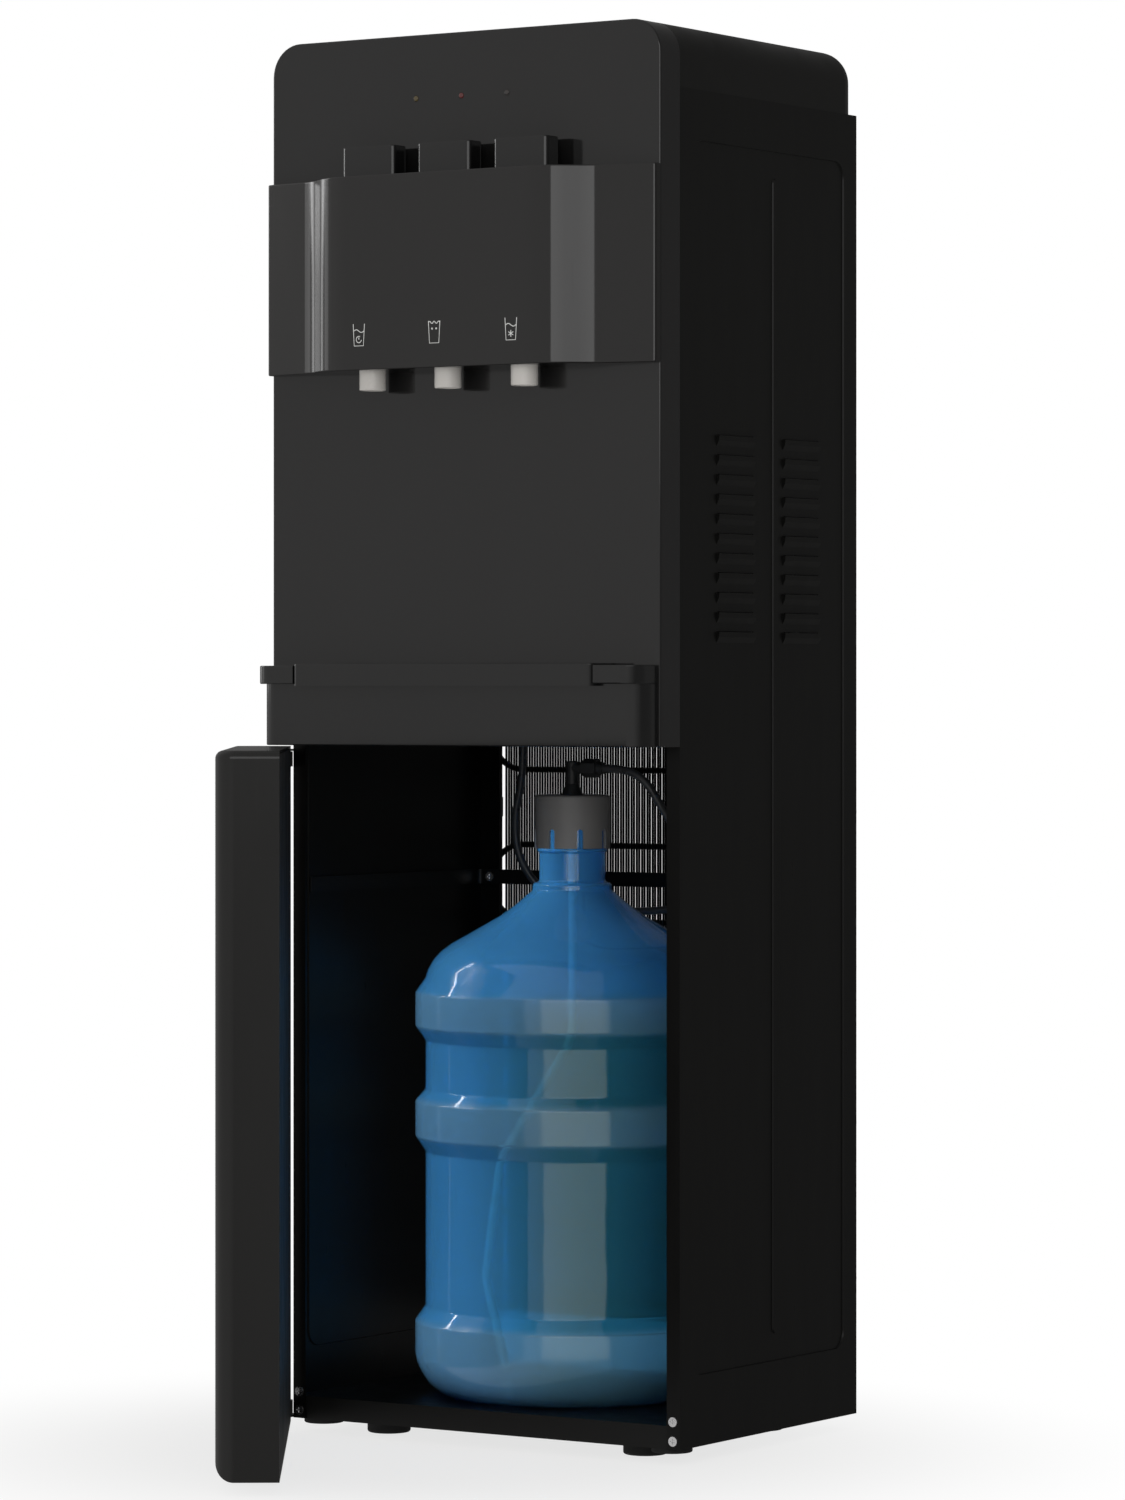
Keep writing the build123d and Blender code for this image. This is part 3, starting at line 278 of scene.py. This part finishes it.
def board_finish(name, colour):
    """A printed board: solder mask with tracks in two directions and bright pads."""
    finish = Finish(name, colour, 0.35)
    upright, level = finish.noise(260, 0, (1, 1, 0.1)), finish.noise(260, 0, (0.1, 1, 1))
    tracks = (upright.above(0.56) + level.above(0.6)) * 0.5
    pads = finish.cells(330).below(0.1)
    finish.set("Base Color", finish.mix(pads, finish.mix(tracks, colour, tint(colour, 2.3)), (0.62, 0.6, 0.52)))
    finish.set("Roughness", finish.ramp(pads, 0, 1, 0.38, 0.22))
    finish.set("Normal", finish.bump(tracks, 0.00005, 0.6))
    return finish.material


def bottle_finish():
    """Clear blue bottle plastic with flow waves from the mould, paler bands that are a painted highlight, and a
    painted shade that turns the body darker teal towards the right below the shoulder.
    """
    finish = Finish("blue_bottle_plastic", (0.1, 0.42, 0.78), 0.08, IOR=1.45, Transmission_Weight=0.72)
    flow = finish.noise(16, 3, (1, 1, 0.3))
    height = finish.axis("Z")
    # The raised bands and the foot are painted paler, a painted highlight for the light their flat faces
    # reflect; they are also a little rougher.
    band = (finish.ramp(height, 0.235, 0.24) * finish.ramp(height, 0.272, 0.266)
            + finish.ramp(height, 0.323, 0.328) * finish.ramp(height, 0.357, 0.352)
            + finish.ramp(height, 0.096, 0.088))
    scuff = finish.noise(70, 6, (1, 1, 0.5), 0.7)
    blue = finish.mix(flow, (0.07, 0.39, 0.80), (0.12, 0.47, 0.86))
    # Painted shade: below the shoulder the colour turns from blue to a darker teal towards the right, standing
    # in for shade and warm reflections on that side.
    shaded_teal = finish.mix(flow, (0.035, 0.24, 0.33), (0.06, 0.30, 0.42))
    shade = finish.ramp(finish.axis("X") - BOTTLE_X, -0.03, 0.075) * finish.ramp(height, 0.365, 0.325)
    clear = finish.mix(shade, blue, shaded_teal)
    finish.set("Base Color", finish.mix(band * 0.5, clear, (0.30, 0.52, 0.66)))
    finish.set("Roughness", 0.05 + finish.ramp(scuff, 0.45, 0.8, 0, 0.12) + band * 0.05)
    finish.set("Normal", finish.bump(finish.noise(38, 2, (1, 1, 0.5)), 0.0008, 0.3,
                                     finish.bump(finish.noise(900, 2), 0.00003, 0.4)))
    return finish.material


def lens_finish():
    """Lamp lenses: amber, red and smoked by their place along the panel."""
    finish = Finish("lamp_lenses", (0.2, 0.1, 0.02), 0.16, Coat_Weight=0.6)
    across = finish.axis("X") - CENTRE_X
    amber, red, smoke = (0.07, 0.05, 0.008), (0.10, 0.004, 0.006), (0.012, 0.012, 0.012)
    colour = finish.mix(across.above(-0.022), amber, finish.mix(across.above(0.02), red, smoke))
    specks = finish.noise(700, 1).above(0.5) * 0.3
    finish.set("Base Color", finish.mix(specks, colour, (0.05, 0.03, 0.02)))
    finish.set("Roughness", finish.ramp(finish.noise(400, 1), 0.3, 0.7, 0.1, 0.25))
    finish.set("Normal", finish.bump(finish.noise(600, 1), 0.00005, 0.4))
    return finish.material


def hose_finish(name, colour, roughness=0.32):
    """Extruded tube: faint draw lines along it and a soft cloudy skin."""
    finish = Finish(name, colour, roughness, Specular_IOR_Level=0.5)
    cloud = finish.noise(60, 4)
    finish.set("Base Color", finish.mix(cloud, tint(colour, 0.7), tint(colour, 1.4)))
    finish.set("Roughness", finish.ramp(cloud, 0.3, 0.7, roughness - 0.06, roughness + 0.14))
    finish.set("Normal", finish.bump(finish.noise(1100, 2), 0.00004, 0.5))
    return finish.material


def marking_finish():
    finish = Finish("white_print", (0.72, 0.72, 0.70), 0.5)
    finish.set("Base Color", finish.mix(finish.noise(2500, 2), (0.60, 0.60, 0.58), (0.82, 0.82, 0.80)))
    finish.set("Roughness", finish.ramp(finish.noise(800, 2), 0.3, 0.7, 0.42, 0.62))
    return finish.material


black_gloss = gloss_finish("black_gloss_panel", (0.0085, 0.0083, 0.0083))
cover_gloss = gloss_finish("black_gloss_cover", (0.0085, 0.008, 0.0078), 0.08, 0.3)
tray_gloss = gloss_finish("black_gloss_tray", (0.0075, 0.0075, 0.0075), 0.09)
door_gloss = gloss_finish("black_gloss_door", (0.0085, 0.0083, 0.0078), 0.16, specular=0.36)
button_gloss = gloss_finish("button_gloss", (0.007, 0.007, 0.007), 0.12)
# The side panels carry a painted shade that darkens them towards the floor.
side_paint = painted_finish("satin_black_paint", (0.0042, 0.0042, 0.0038), 0.36, 0.2, (0.1, 0.95, 0.45))
frame_paint = painted_finish("frame_black_paint", (0.0042, 0.0042, 0.004), 0.42, 0.22)
top_plastic = moulded_finish("top_cover_plastic", (0.0045, 0.0045, 0.004), 0.34, 1.0, 0.28)
black_plastic = moulded_finish("black_moulding", (0.007, 0.007, 0.007), 0.45)
grille_plastic = moulded_finish("grille_moulding", (0.009, 0.009, 0.009), 0.4)
liner_plastic = moulded_finish("door_liner_plastic", (0.008, 0.008, 0.008), 0.5)
cap_plastic = moulded_finish("grey_cap_plastic", (0.17, 0.165, 0.16), 0.42)
elbow_plastic = moulded_finish("dark_fitting_plastic", (0.026, 0.027, 0.028), 0.38)
tap_plastic = moulded_finish("tap_white_plastic", (0.52, 0.50, 0.47), 0.3, 0.5)
white_plastic = moulded_finish("white_fitting_plastic", (0.70, 0.70, 0.68), 0.4)
clear_tube = hose_finish("milky_tube", (0.62, 0.64, 0.63), 0.3)
black_hose = hose_finish("grey_water_hose", (0.035, 0.036, 0.038), 0.3)
black_rubber = rubber_finish("black_rubber", (0.010, 0.010, 0.010))
magnet_rubber = rubber_finish("magnet_rubber", (0.03, 0.028, 0.027), 0.6)
screw_chrome = metal_finish("screw_chrome", (0.75, 0.75, 0.76), 0.2, (1, 1, 1), 0.15)
stainless = metal_finish("stainless_tank", (0.58, 0.57, 0.55), 0.3, (0.02, 0.02, 1))
spring_steel = metal_finish("spring_steel", (0.5, 0.49, 0.47), 0.3, (1, 1, 1))
copper = metal_finish("copper_tube", (0.78, 0.36, 0.2), 0.25, (1, 1, 1), 0.5)
galvanised = metal_finish("galvanised_sheet", (0.46, 0.47, 0.48), 0.42, (1, 1, 1), 0.4)
foam = foam_finish("tank_foam", (0.62, 0.6, 0.53))
green_board = board_finish("printed_board", (0.012, 0.09, 0.035))
bottle_plastic = bottle_finish()
lamp_lenses = lens_finish()
white_print = marking_finish()

finishes = {
    black_gloss: ["front_panel"],
    cover_gloss: ["tap_cover"],
    tray_gloss: ["tray_shelf", "tray_skirt", "drip_tray"],
    door_gloss: ["door_shell"],
    button_gloss: ["button_left", "button_middle", "button_right", "cooling_rocker", "heating_rocker"],
    side_paint: ["side_panel_left", "side_panel_right"],
    frame_paint: ["base_pan", "compartment_brace", "compressor", "condenser_tube", "condenser_wires",
                  "hinge_brackets"],
    top_plastic: ["top_cover"],
    black_plastic: ["condenser_clips", "cord_inlet", "hinge_bushes", "switch_housings"],
    grille_plastic: ["drip_grille"],
    liner_plastic: ["door_liner"],
    cap_plastic: ["probe_cap"],
    elbow_plastic: ["probe_elbow", "deck_fitting"],
    tap_plastic: ["nozzles"],
    white_plastic: ["tap_bodies", "drain_caps", "water_manifold", "water_pump"],
    clear_tube: ["tap_pipes", "supply_pipe", "dip_tube"],
    black_hose: ["water_hose"],
    black_rubber: ["rubber_feet", "corner_glides", "compressor_mounts"],
    magnet_rubber: ["door_magnet"],
    screw_chrome: ["cabinet_screws", "hinge_screws"],
    stainless: ["hot_tank", "cold_tank"],
    spring_steel: ["button_spring_left", "button_spring_middle", "button_spring_right", "hinge_pins"],
    copper: ["evaporator_coil"],
    galvanised: ["back_panel", "mid_deck"],
    foam: ["hot_tank_jacket", "cold_tank_jacket"],
    green_board: ["indicator_board", "control_board"],
    bottle_plastic: ["water_bottle"],
    lamp_lenses: ["indicator_lenses"],
}
for material, nodes in finishes.items():
    for name in nodes:
        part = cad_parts[name]
        part.data.materials.clear()
        part.data.materials.append(material)
unpainted = sorted(set(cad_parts) - {name for nodes in finishes.values() for name in nodes})
if unpainted:
    raise ValueError(f"no finish for {unpainted}")


# ---- modelling helpers ------------------------------------------------------------------------
def alone(piece):
    """Only this piece is selected and active."""
    bpy.ops.object.select_all(action="DESELECT")
    piece.select_set(True)
    bpy.context.view_layer.objects.active = piece


def begin(piece, name):
    piece.name = name
    alone(piece)
    bpy.ops.object.transform_apply(location=True, rotation=True, scale=True)
    bpy.ops.object.mode_set(mode="EDIT")
    bpy.ops.mesh.select_all(action="SELECT")
    return piece


def settle(piece, body, material, angle=32):
    """Leaves edit mode, smooths the piece, gives it its finish and lets it ride."""
    if bpy.context.object and bpy.context.object.mode == "EDIT":
        bpy.ops.object.mode_set(mode="OBJECT")
    alone(piece)
    bpy.ops.object.shade_smooth_by_angle(angle=radians(angle))
    piece.data.materials.clear()
    piece.data.materials.append(material)
    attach(piece, body)
    return piece


def finish_with(piece, kind, **settings):
    """Adds a modifier and applies it."""
    if bpy.context.object and bpy.context.object.mode == "EDIT":
        bpy.ops.object.mode_set(mode="OBJECT")
    alone(piece)
    modifier = piece.modifiers.new(kind.lower(), kind)
    for key, value in settings.items():
        setattr(modifier, key, value)
    bpy.ops.object.modifier_apply(modifier=modifier.name)


def turned(name, x, y, rings, segments=96):
    """A turned piece in edit mode: a circle drawn up through rings of radius and height, in millimetres.

    A first radius of 0 closes the foot at a point."""
    rings = list(rings)
    first = rings[1] if rings[0][0] == 0 else rings[0]
    bpy.ops.object.select_all(action="DESELECT")
    bpy.ops.mesh.primitive_circle_add(vertices=segments, radius=first[0] * MM, fill_type="NOTHING",
                                      location=(x, y, first[1] * MM))
    piece = begin(bpy.context.object, name)
    if rings[0][0] == 0:
        bpy.ops.mesh.extrude_region_move(
            TRANSFORM_OT_translate={"value": (0, 0, (rings[0][1] - first[1]) * MM)})
        bpy.ops.mesh.merge(type="CENTER")
        bpy.ops.mesh.select_all(action="DESELECT")
        bpy.ops.object.mode_set(mode="OBJECT")
        for vertex in piece.data.vertices:
            off_axis = (vertex.co.xy - Vector((x, y))).length
            vertex.select = off_axis > first[0] * MM * 0.5
        bpy.ops.object.mode_set(mode="EDIT")
        bpy.ops.mesh.select_mode(type="VERT")
        rings = rings[1:]
    radius, height = rings[0]
    for next_radius, next_height in rings[1:]:
        bpy.ops.mesh.extrude_region_move(
            TRANSFORM_OT_translate={"value": (0, 0, (next_height - height) * MM)})
        grow = next_radius / radius
        bpy.ops.transform.resize(value=(grow, grow, 1), center_override=(x, y, next_height * MM))
        radius, height = next_radius, next_height
    bpy.ops.mesh.select_all(action="SELECT")
    bpy.ops.mesh.remove_doubles(threshold=1e-6)
    bpy.ops.mesh.normals_make_consistent(inside=False)
    bpy.ops.mesh.select_mode(type="FACE")
    return piece


# ---- water hose and bottle --------------------------------------------------------------------
HOSE_R = 3.2
HOSE_ROUTE = [
    (30, 130, 534), (47, 130, 534), (67, 132, 526.5), (79, 140, 503), (88, 158, 473), (90, 187, 442),
    (64, 215, 421), (9, 227, 415), (-40, 224, 415), (-80, 212, 427), (-100, 202, 456), (-103, 200, 492),
    (-94, 200, 524), (-94, 200, 551),
]
line = bpy.data.curves.new("water_hose_line", "CURVE")
line.dimensions = "3D"
line.bevel_depth = HOSE_R * MM
line.bevel_resolution = 5
line.resolution_u = 12
line.use_fill_caps = True
route = line.splines.new("NURBS")
route.points.add(len(HOSE_ROUTE) - 1)
for point, place in zip(route.points, HOSE_ROUTE):
    point.co = (*at(*place), 1)
route.order_u = 3
route.use_endpoint_u = True
hose = bpy.data.objects.new("water_hose_run", line)
scene.collection.objects.link(hose)
line.materials.append(black_hose)
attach(hose, "cabinet")
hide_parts("water_hose")

WALL = 1.8
BOTTLE_RINGS = [
    (0, 41), (30, 40.5), (62, 38.5), (80, 34), (90, 30.4), (98, 30.0), (107, 33.2), (115.5, 40),
    (121.5, 49), (125, 57), (126.5, 64), (126.5, 90), (118.2, 102), (118.2, 226), (126.5, 238.5),
    (126.5, 266.5), (118.2, 276), (118.2, 315), (126.5, 327), (126.5, 353.5), (118.2, 365.5),
    (116.2, 372), (112, 379.5), (106, 386.3), (97, 393), (86, 399), (72, 407), (58, 415), (45, 424.5),
    (37, 431.5), (33.4, 434.5), (32, 436.2), (32, 440), (30.8, 441.6), (27.4, 442.4), (26.6, 444), (26.6, 466),
    (28.2, 467), (28.2, 469), (26.6, 470), (26.6, 504), (26.2, 506),
]
bottle = turned("bottle_shell", BOTTLE_X, BOTTLE_Y, BOTTLE_RINGS, 128)
finish_with(bottle, "BEVEL", width=2.2 * MM, segments=3, limit_method="ANGLE", angle_limit=radians(24))
finish_with(bottle, "SOLIDIFY", thickness=WALL * MM, offset=-1)
settle(bottle, "cabinet", bottle_plastic, 40)
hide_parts("water_bottle")


# ---- condenser: close rows of wire welded to both faces of the tube ------------------------------
wires_low, wires_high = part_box("condenser_wires")
WIRE_R = 1.05
WIRE_PITCH = 5.2
WIRE_INSET = 1.1
WIRE_REACH = 3.2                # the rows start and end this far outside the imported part's wires
REAR_SHIFT = 3.1                # the rear row's wires stand nearly behind the gaps of the front row
wire_count = int(((wires_high.x - wires_low.x) / MM + 2 * WIRE_REACH) / WIRE_PITCH)


def wire_row(y, shift):
    """One face of the condenser: a wire stretched to length, and its copies side by side."""
    bpy.ops.object.select_all(action="DESELECT")
    bpy.ops.mesh.primitive_cylinder_add(
        vertices=7, radius=WIRE_R * MM, depth=wires_high.z - wires_low.z, end_fill_type="NGON",
        location=(wires_low.x + (WIRE_R + shift - WIRE_REACH) * MM, y, (wires_low.z + wires_high.z) / 2))
    row = begin(bpy.context.object, "wire_row")
    bpy.ops.mesh.select_all(action="DESELECT")
    bpy.ops.object.mode_set(mode="OBJECT")
    for face in row.data.polygons:
        face.select = abs(face.normal.z) > 0.9
    bpy.ops.object.mode_set(mode="EDIT")
    bpy.ops.mesh.inset(thickness=0.3 * MM, depth=0.3 * MM)
    finish_with(row, "ARRAY", count=wire_count, use_relative_offset=False, use_constant_offset=True,
                constant_offset_displace=(WIRE_PITCH * MM, 0, 0))
    return row


def joined(pieces, name):
    bpy.ops.object.select_all(action="DESELECT")
    for piece in pieces:
        piece.select_set(True)
    bpy.context.view_layer.objects.active = pieces[0]
    bpy.ops.object.join()
    whole = bpy.context.object
    whole.name = name
    return whole


def cross_bar(y, z):
    """The flat strip that closes a wire row."""
    bpy.ops.object.select_all(action="DESELECT")
    bpy.ops.mesh.primitive_cube_add(size=1, location=((wires_low.x + wires_high.x) / 2, y, z),
                                    scale=(wires_high.x - wires_low.x, 1.0 * MM, 3.0 * MM))
    bar = begin(bpy.context.object, "cross_bar")
    finish_with(bar, "BEVEL", width=0.35 * MM, segments=2)
    return bar


rows = []
for wire_y, shift in ((wires_low.y + WIRE_INSET * MM, 0.0), (wires_high.y - WIRE_INSET * MM, REAR_SHIFT)):
    rows.append(wire_row(wire_y, shift))
    for bar_z in (wires_low.z + 1.5 * MM, wires_high.z - 1.5 * MM):
        rows.append(cross_bar(wire_y, bar_z))
condenser_grid = settle(joined(rows, "condenser_grid"), "cabinet", frame_paint, 40)
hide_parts("condenser_wires")


# ---- button springs: a wire coil in place of each imported spring ----------------------------------
SPRING_R = 4.1
SPRING_WIRE = 0.45
SPRING_TURNS = 6
for side in ("left", "middle", "right"):
    spring_low, spring_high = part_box(f"button_spring_{side}")
    rise = spring_high.z - spring_low.z - 2 * SPRING_WIRE * MM
    foot = Vector(((spring_low.x + spring_high.x) / 2, (spring_low.y + spring_high.y) / 2, spring_low.z))
    bpy.ops.object.select_all(action="DESELECT")
    bpy.ops.mesh.primitive_circle_add(vertices=8, radius=SPRING_WIRE * MM, fill_type="NOTHING",
                                      location=(SPRING_R * MM, 0, 0), rotation=(pi / 2, 0, 0))
    coil = begin(bpy.context.object, f"coil_spring_{side}")
    finish_with(coil, "SCREW", axis="Z", angle=2 * pi * SPRING_TURNS, screw_offset=rise,
                steps=24 * SPRING_TURNS, render_steps=24 * SPRING_TURNS)
    bpy.ops.object.mode_set(mode="EDIT")
    bpy.ops.mesh.select_all(action="SELECT")
    bpy.ops.mesh.fill_holes(sides=0)
    bpy.ops.mesh.normals_make_consistent(inside=False)
    bpy.ops.transform.translate(value=foot + Vector((0, 0, SPRING_WIRE * MM)))
    settle(coil, "cabinet", spring_steel, 60)
    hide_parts(f"button_spring_{side}")
    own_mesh(coil)


# ---- printed cup marks over the taps ----------------------------------------------------------
def printed_lines(name, strokes, width=0.33):
    """Thin raised print on the cover's flat front; strokes are runs of (across, up) in millimetres."""
    ink = bpy.data.curves.new(name, "CURVE")
    ink.dimensions = "3D"
    ink.bevel_depth = width * MM
    ink.bevel_resolution = 1
    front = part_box("tap_cover")[0].y
    for stroke in strokes:
        run = ink.splines.new("POLY")
        run.points.add(len(stroke) - 1)
        for point, (across, up) in zip(run.points, stroke):
            point.co = (CENTRE_X + across * MM, front, up * MM, 1)
    drawn = bpy.data.objects.new(name, ink)
    scene.collection.objects.link(drawn)
    alone(drawn)
    bpy.ops.object.convert(target="MESH")
    drawn = bpy.context.object
    # Pressed nearly flat against the cover.
    for vertex in drawn.data.vertices:
        vertex.co.y = front + (vertex.co.y - front) * 0.35
    return settle(drawn, "cabinet", white_print, 60)


def cup(x, z):
    return [(x - 5.4, z + 8.6), (x - 4.4, z - 8.6), (x + 4.4, z - 8.6), (x + 5.4, z + 8.6)]


def ripple(x, z, half, rise, humps, steps=24):
    return [(x - half + 2 * half * i / steps, z + rise * sin(humps * 2 * pi * i / steps))
            for i in range(steps + 1)]


def ring(x, z, radius, start=0, turn=360, steps=20):
    angles = [radians(start + turn * i / steps) for i in range(steps + 1)]
    return [(x + radius * cos(angle), z + radius * sin(angle)) for angle in angles]


MARK_Z = 875.0
marks = []
left, middle, right = -71.5, 0.0, 71.5
marks += [cup(left, MARK_Z), ripple(left, MARK_Z + 3, 4.8, 1.1, 1), ring(left, MARK_Z - 3.6, 2.5, 60, 290),
          [(left, MARK_Z - 3.6), (left, MARK_Z - 2.0)]]
marks += [cup(middle, MARK_Z), ripple(middle, MARK_Z + 7.4, 5.2, 0.9, 2.5),
          ring(middle - 1.9, MARK_Z + 2.6, 0.5), ring(middle + 1.9, MARK_Z + 2.6, 0.5)]
marks += [cup(right, MARK_Z), ripple(right, MARK_Z + 3, 4.8, 1.1, 1)]
for spoke in range(3):
    lean = radians(60 * spoke + 30)
    dx, dz = 2.6 * cos(lean), 2.6 * sin(lean)
    marks.append([(right - dx, MARK_Z - 3.6 - dz), (right + dx, MARK_Z - 3.6 + dz)])
printed_lines("cup_marks", marks)


# ---- floor, world and lamps --------------------------------------------------------------------
bpy.ops.object.select_all(action="DESELECT")
bpy.ops.mesh.primitive_circle_add(vertices=96, radius=9, fill_type="NGON", location=(0, 0, -0.0004))
floor = bpy.context.object
floor.name = "studio_floor"
ground = Finish("pale_floor", (0.86, 0.86, 0.85), 0.6, Specular_IOR_Level=0.1)
spread = ground.node("ShaderNodeVectorMath", {"operation": "LENGTH"}, {0: ground.place()}, "Value")
glow = ground.node("ShaderNodeEmission", None, {"Color": (1, 1, 1), "Strength": 1.0})
blended = ground.node("ShaderNodeMixShader", None, {
    0: ground.ramp(spread, 0.15, 0.6, 0.75, 1.0), 1: Wire(ground.tree, ground.shader.outputs[0]), 2: glow})
ground.tree.links.new(blended.socket, ground.tree.nodes["Material Output"].inputs["Surface"])
ground.set("Base Color", ground.mix(ground.noise(3), (0.85, 0.85, 0.84), (0.88, 0.88, 0.87)))
floor.data.materials.append(ground.material)
floor.visible_glossy = False

world = bpy.data.worlds.new("studio")
scene.world = world
world.use_nodes = True
sky = world.node_tree
sky.nodes.clear()
backdrop, ambient = sky.nodes.new("ShaderNodeBackground"), sky.nodes.new("ShaderNodeBackground")
backdrop.inputs["Color"].default_value = (1, 1, 1, 1)
ambient.inputs["Color"].default_value = (1.0, 0.99, 0.98, 1)
# The room is bright ahead and to the left of the object, and dim behind it to the right.
facing, toward, fade = (sky.nodes.new("ShaderNodeTexCoord"), sky.nodes.new("ShaderNodeVectorMath"),
                        sky.nodes.new("ShaderNodeMapRange"))
toward.operation = "DOT_PRODUCT"
toward.inputs[1].default_value = (-0.55, -0.835, 0.45)
fade.interpolation_type = "SMOOTHSTEP"
for entry, value in zip(list(fade.inputs)[1:5], (-0.25, 0.85, 0.14, 0.6)):
    entry.default_value = value
sky.links.new(facing.outputs["Generated"], toward.inputs[0])
sky.links.new(toward.outputs["Value"], fade.inputs[0])
sky.links.new(fade.outputs[0], ambient.inputs["Strength"])
path, join = sky.nodes.new("ShaderNodeLightPath"), sky.nodes.new("ShaderNodeMixShader")
sky.links.new(path.outputs["Is Camera Ray"], join.inputs[0])
sky.links.new(ambient.outputs[0], join.inputs[1])
sky.links.new(backdrop.outputs[0], join.inputs[2])
sky.links.new(join.outputs[0], sky.nodes.new("ShaderNodeOutputWorld").inputs["Surface"])


# The tube in the bottle has a lamp that the floor alone shades, because the bottle's walls pass its light.
unshaded = bpy.data.collections.new("shaded_by_floor")
unshaded.objects.link(floor)


def softbox(name, azimuth, distance, height, wide, high, radiance, colour=(1, 1, 1), only=(), aim_z=None,
            roll=0):
    """A rectangular lamp; azimuth is counted from the front towards the right.

    Where pieces are named, they alone catch its light."""
    lamp = bpy.data.lights.new(name, "AREA")
    lamp.shape = "RECTANGLE"
    lamp.size, lamp.size_y = wide, high
    lamp.energy = radiance * pi * wide * high
    lamp.color = colour
    holder = bpy.data.objects.new(name, lamp)
    holder.location = (distance * sin(radians(azimuth)), -distance * cos(radians(azimuth)), height)
    target = Vector((0, 0, height if aim_z is None else aim_z))
    holder.rotation_euler = (target - holder.location).to_track_quat("-Z", "Y").to_euler()
    holder.rotation_euler.rotate_axis("Z", radians(roll))
    scene.collection.objects.link(holder)
    holder.visible_camera = False
    if only:
        caught = bpy.data.collections.new(name + "_catches")
        for piece in only:
            caught.objects.link(piece)
        holder.light_linking.receiver_collection = caught
        holder.light_linking.blocker_collection = caught
    return holder


softbox("key_box", 35, 4.6, 1.95, 4.2, 2.0, 1.6)
fronts = [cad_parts[name] for name in (
    "tap_cover", "front_panel", "button_left", "button_middle", "button_right", "tray_shelf", "tray_skirt",
    "drip_tray")]
softbox("left_strip_a", -72, 3.0, 1.4, 0.80, 1.6, 0.8, only=fronts)
softbox("left_strip_b", -95, 3.0, 1.4, 0.55, 1.6, 1.5, only=fronts)
softbox("left_glint", -78, 2.95, 1.52, 1.5, 0.5, 4.0, only=fronts, roll=9)
window = softbox("bottle_window", 36, 4.6, 0.2, 4.2, 2.4, 1.25, (1.0, 0.94, 0.70), [bottle])
window.visible_diffuse = False
softbox("bottle_fill", -72, 2.4, 1.6, 1.4, 1.4, 17.0, (0.97, 0.99, 1.0), [bottle], 0.3)
softbox("bottle_glint", 20, 2.6, 2.3, 2.4, 0.12, 14.0, (1, 1, 1), [bottle], 0.25)
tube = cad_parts["dip_tube"]
inner = softbox("tube_light", -20, 2.4, 1.2, 1.2, 1.2, 4.5, (1, 1, 1), [tube], 0.3)
inner.light_linking.blocker_collection = unshaded
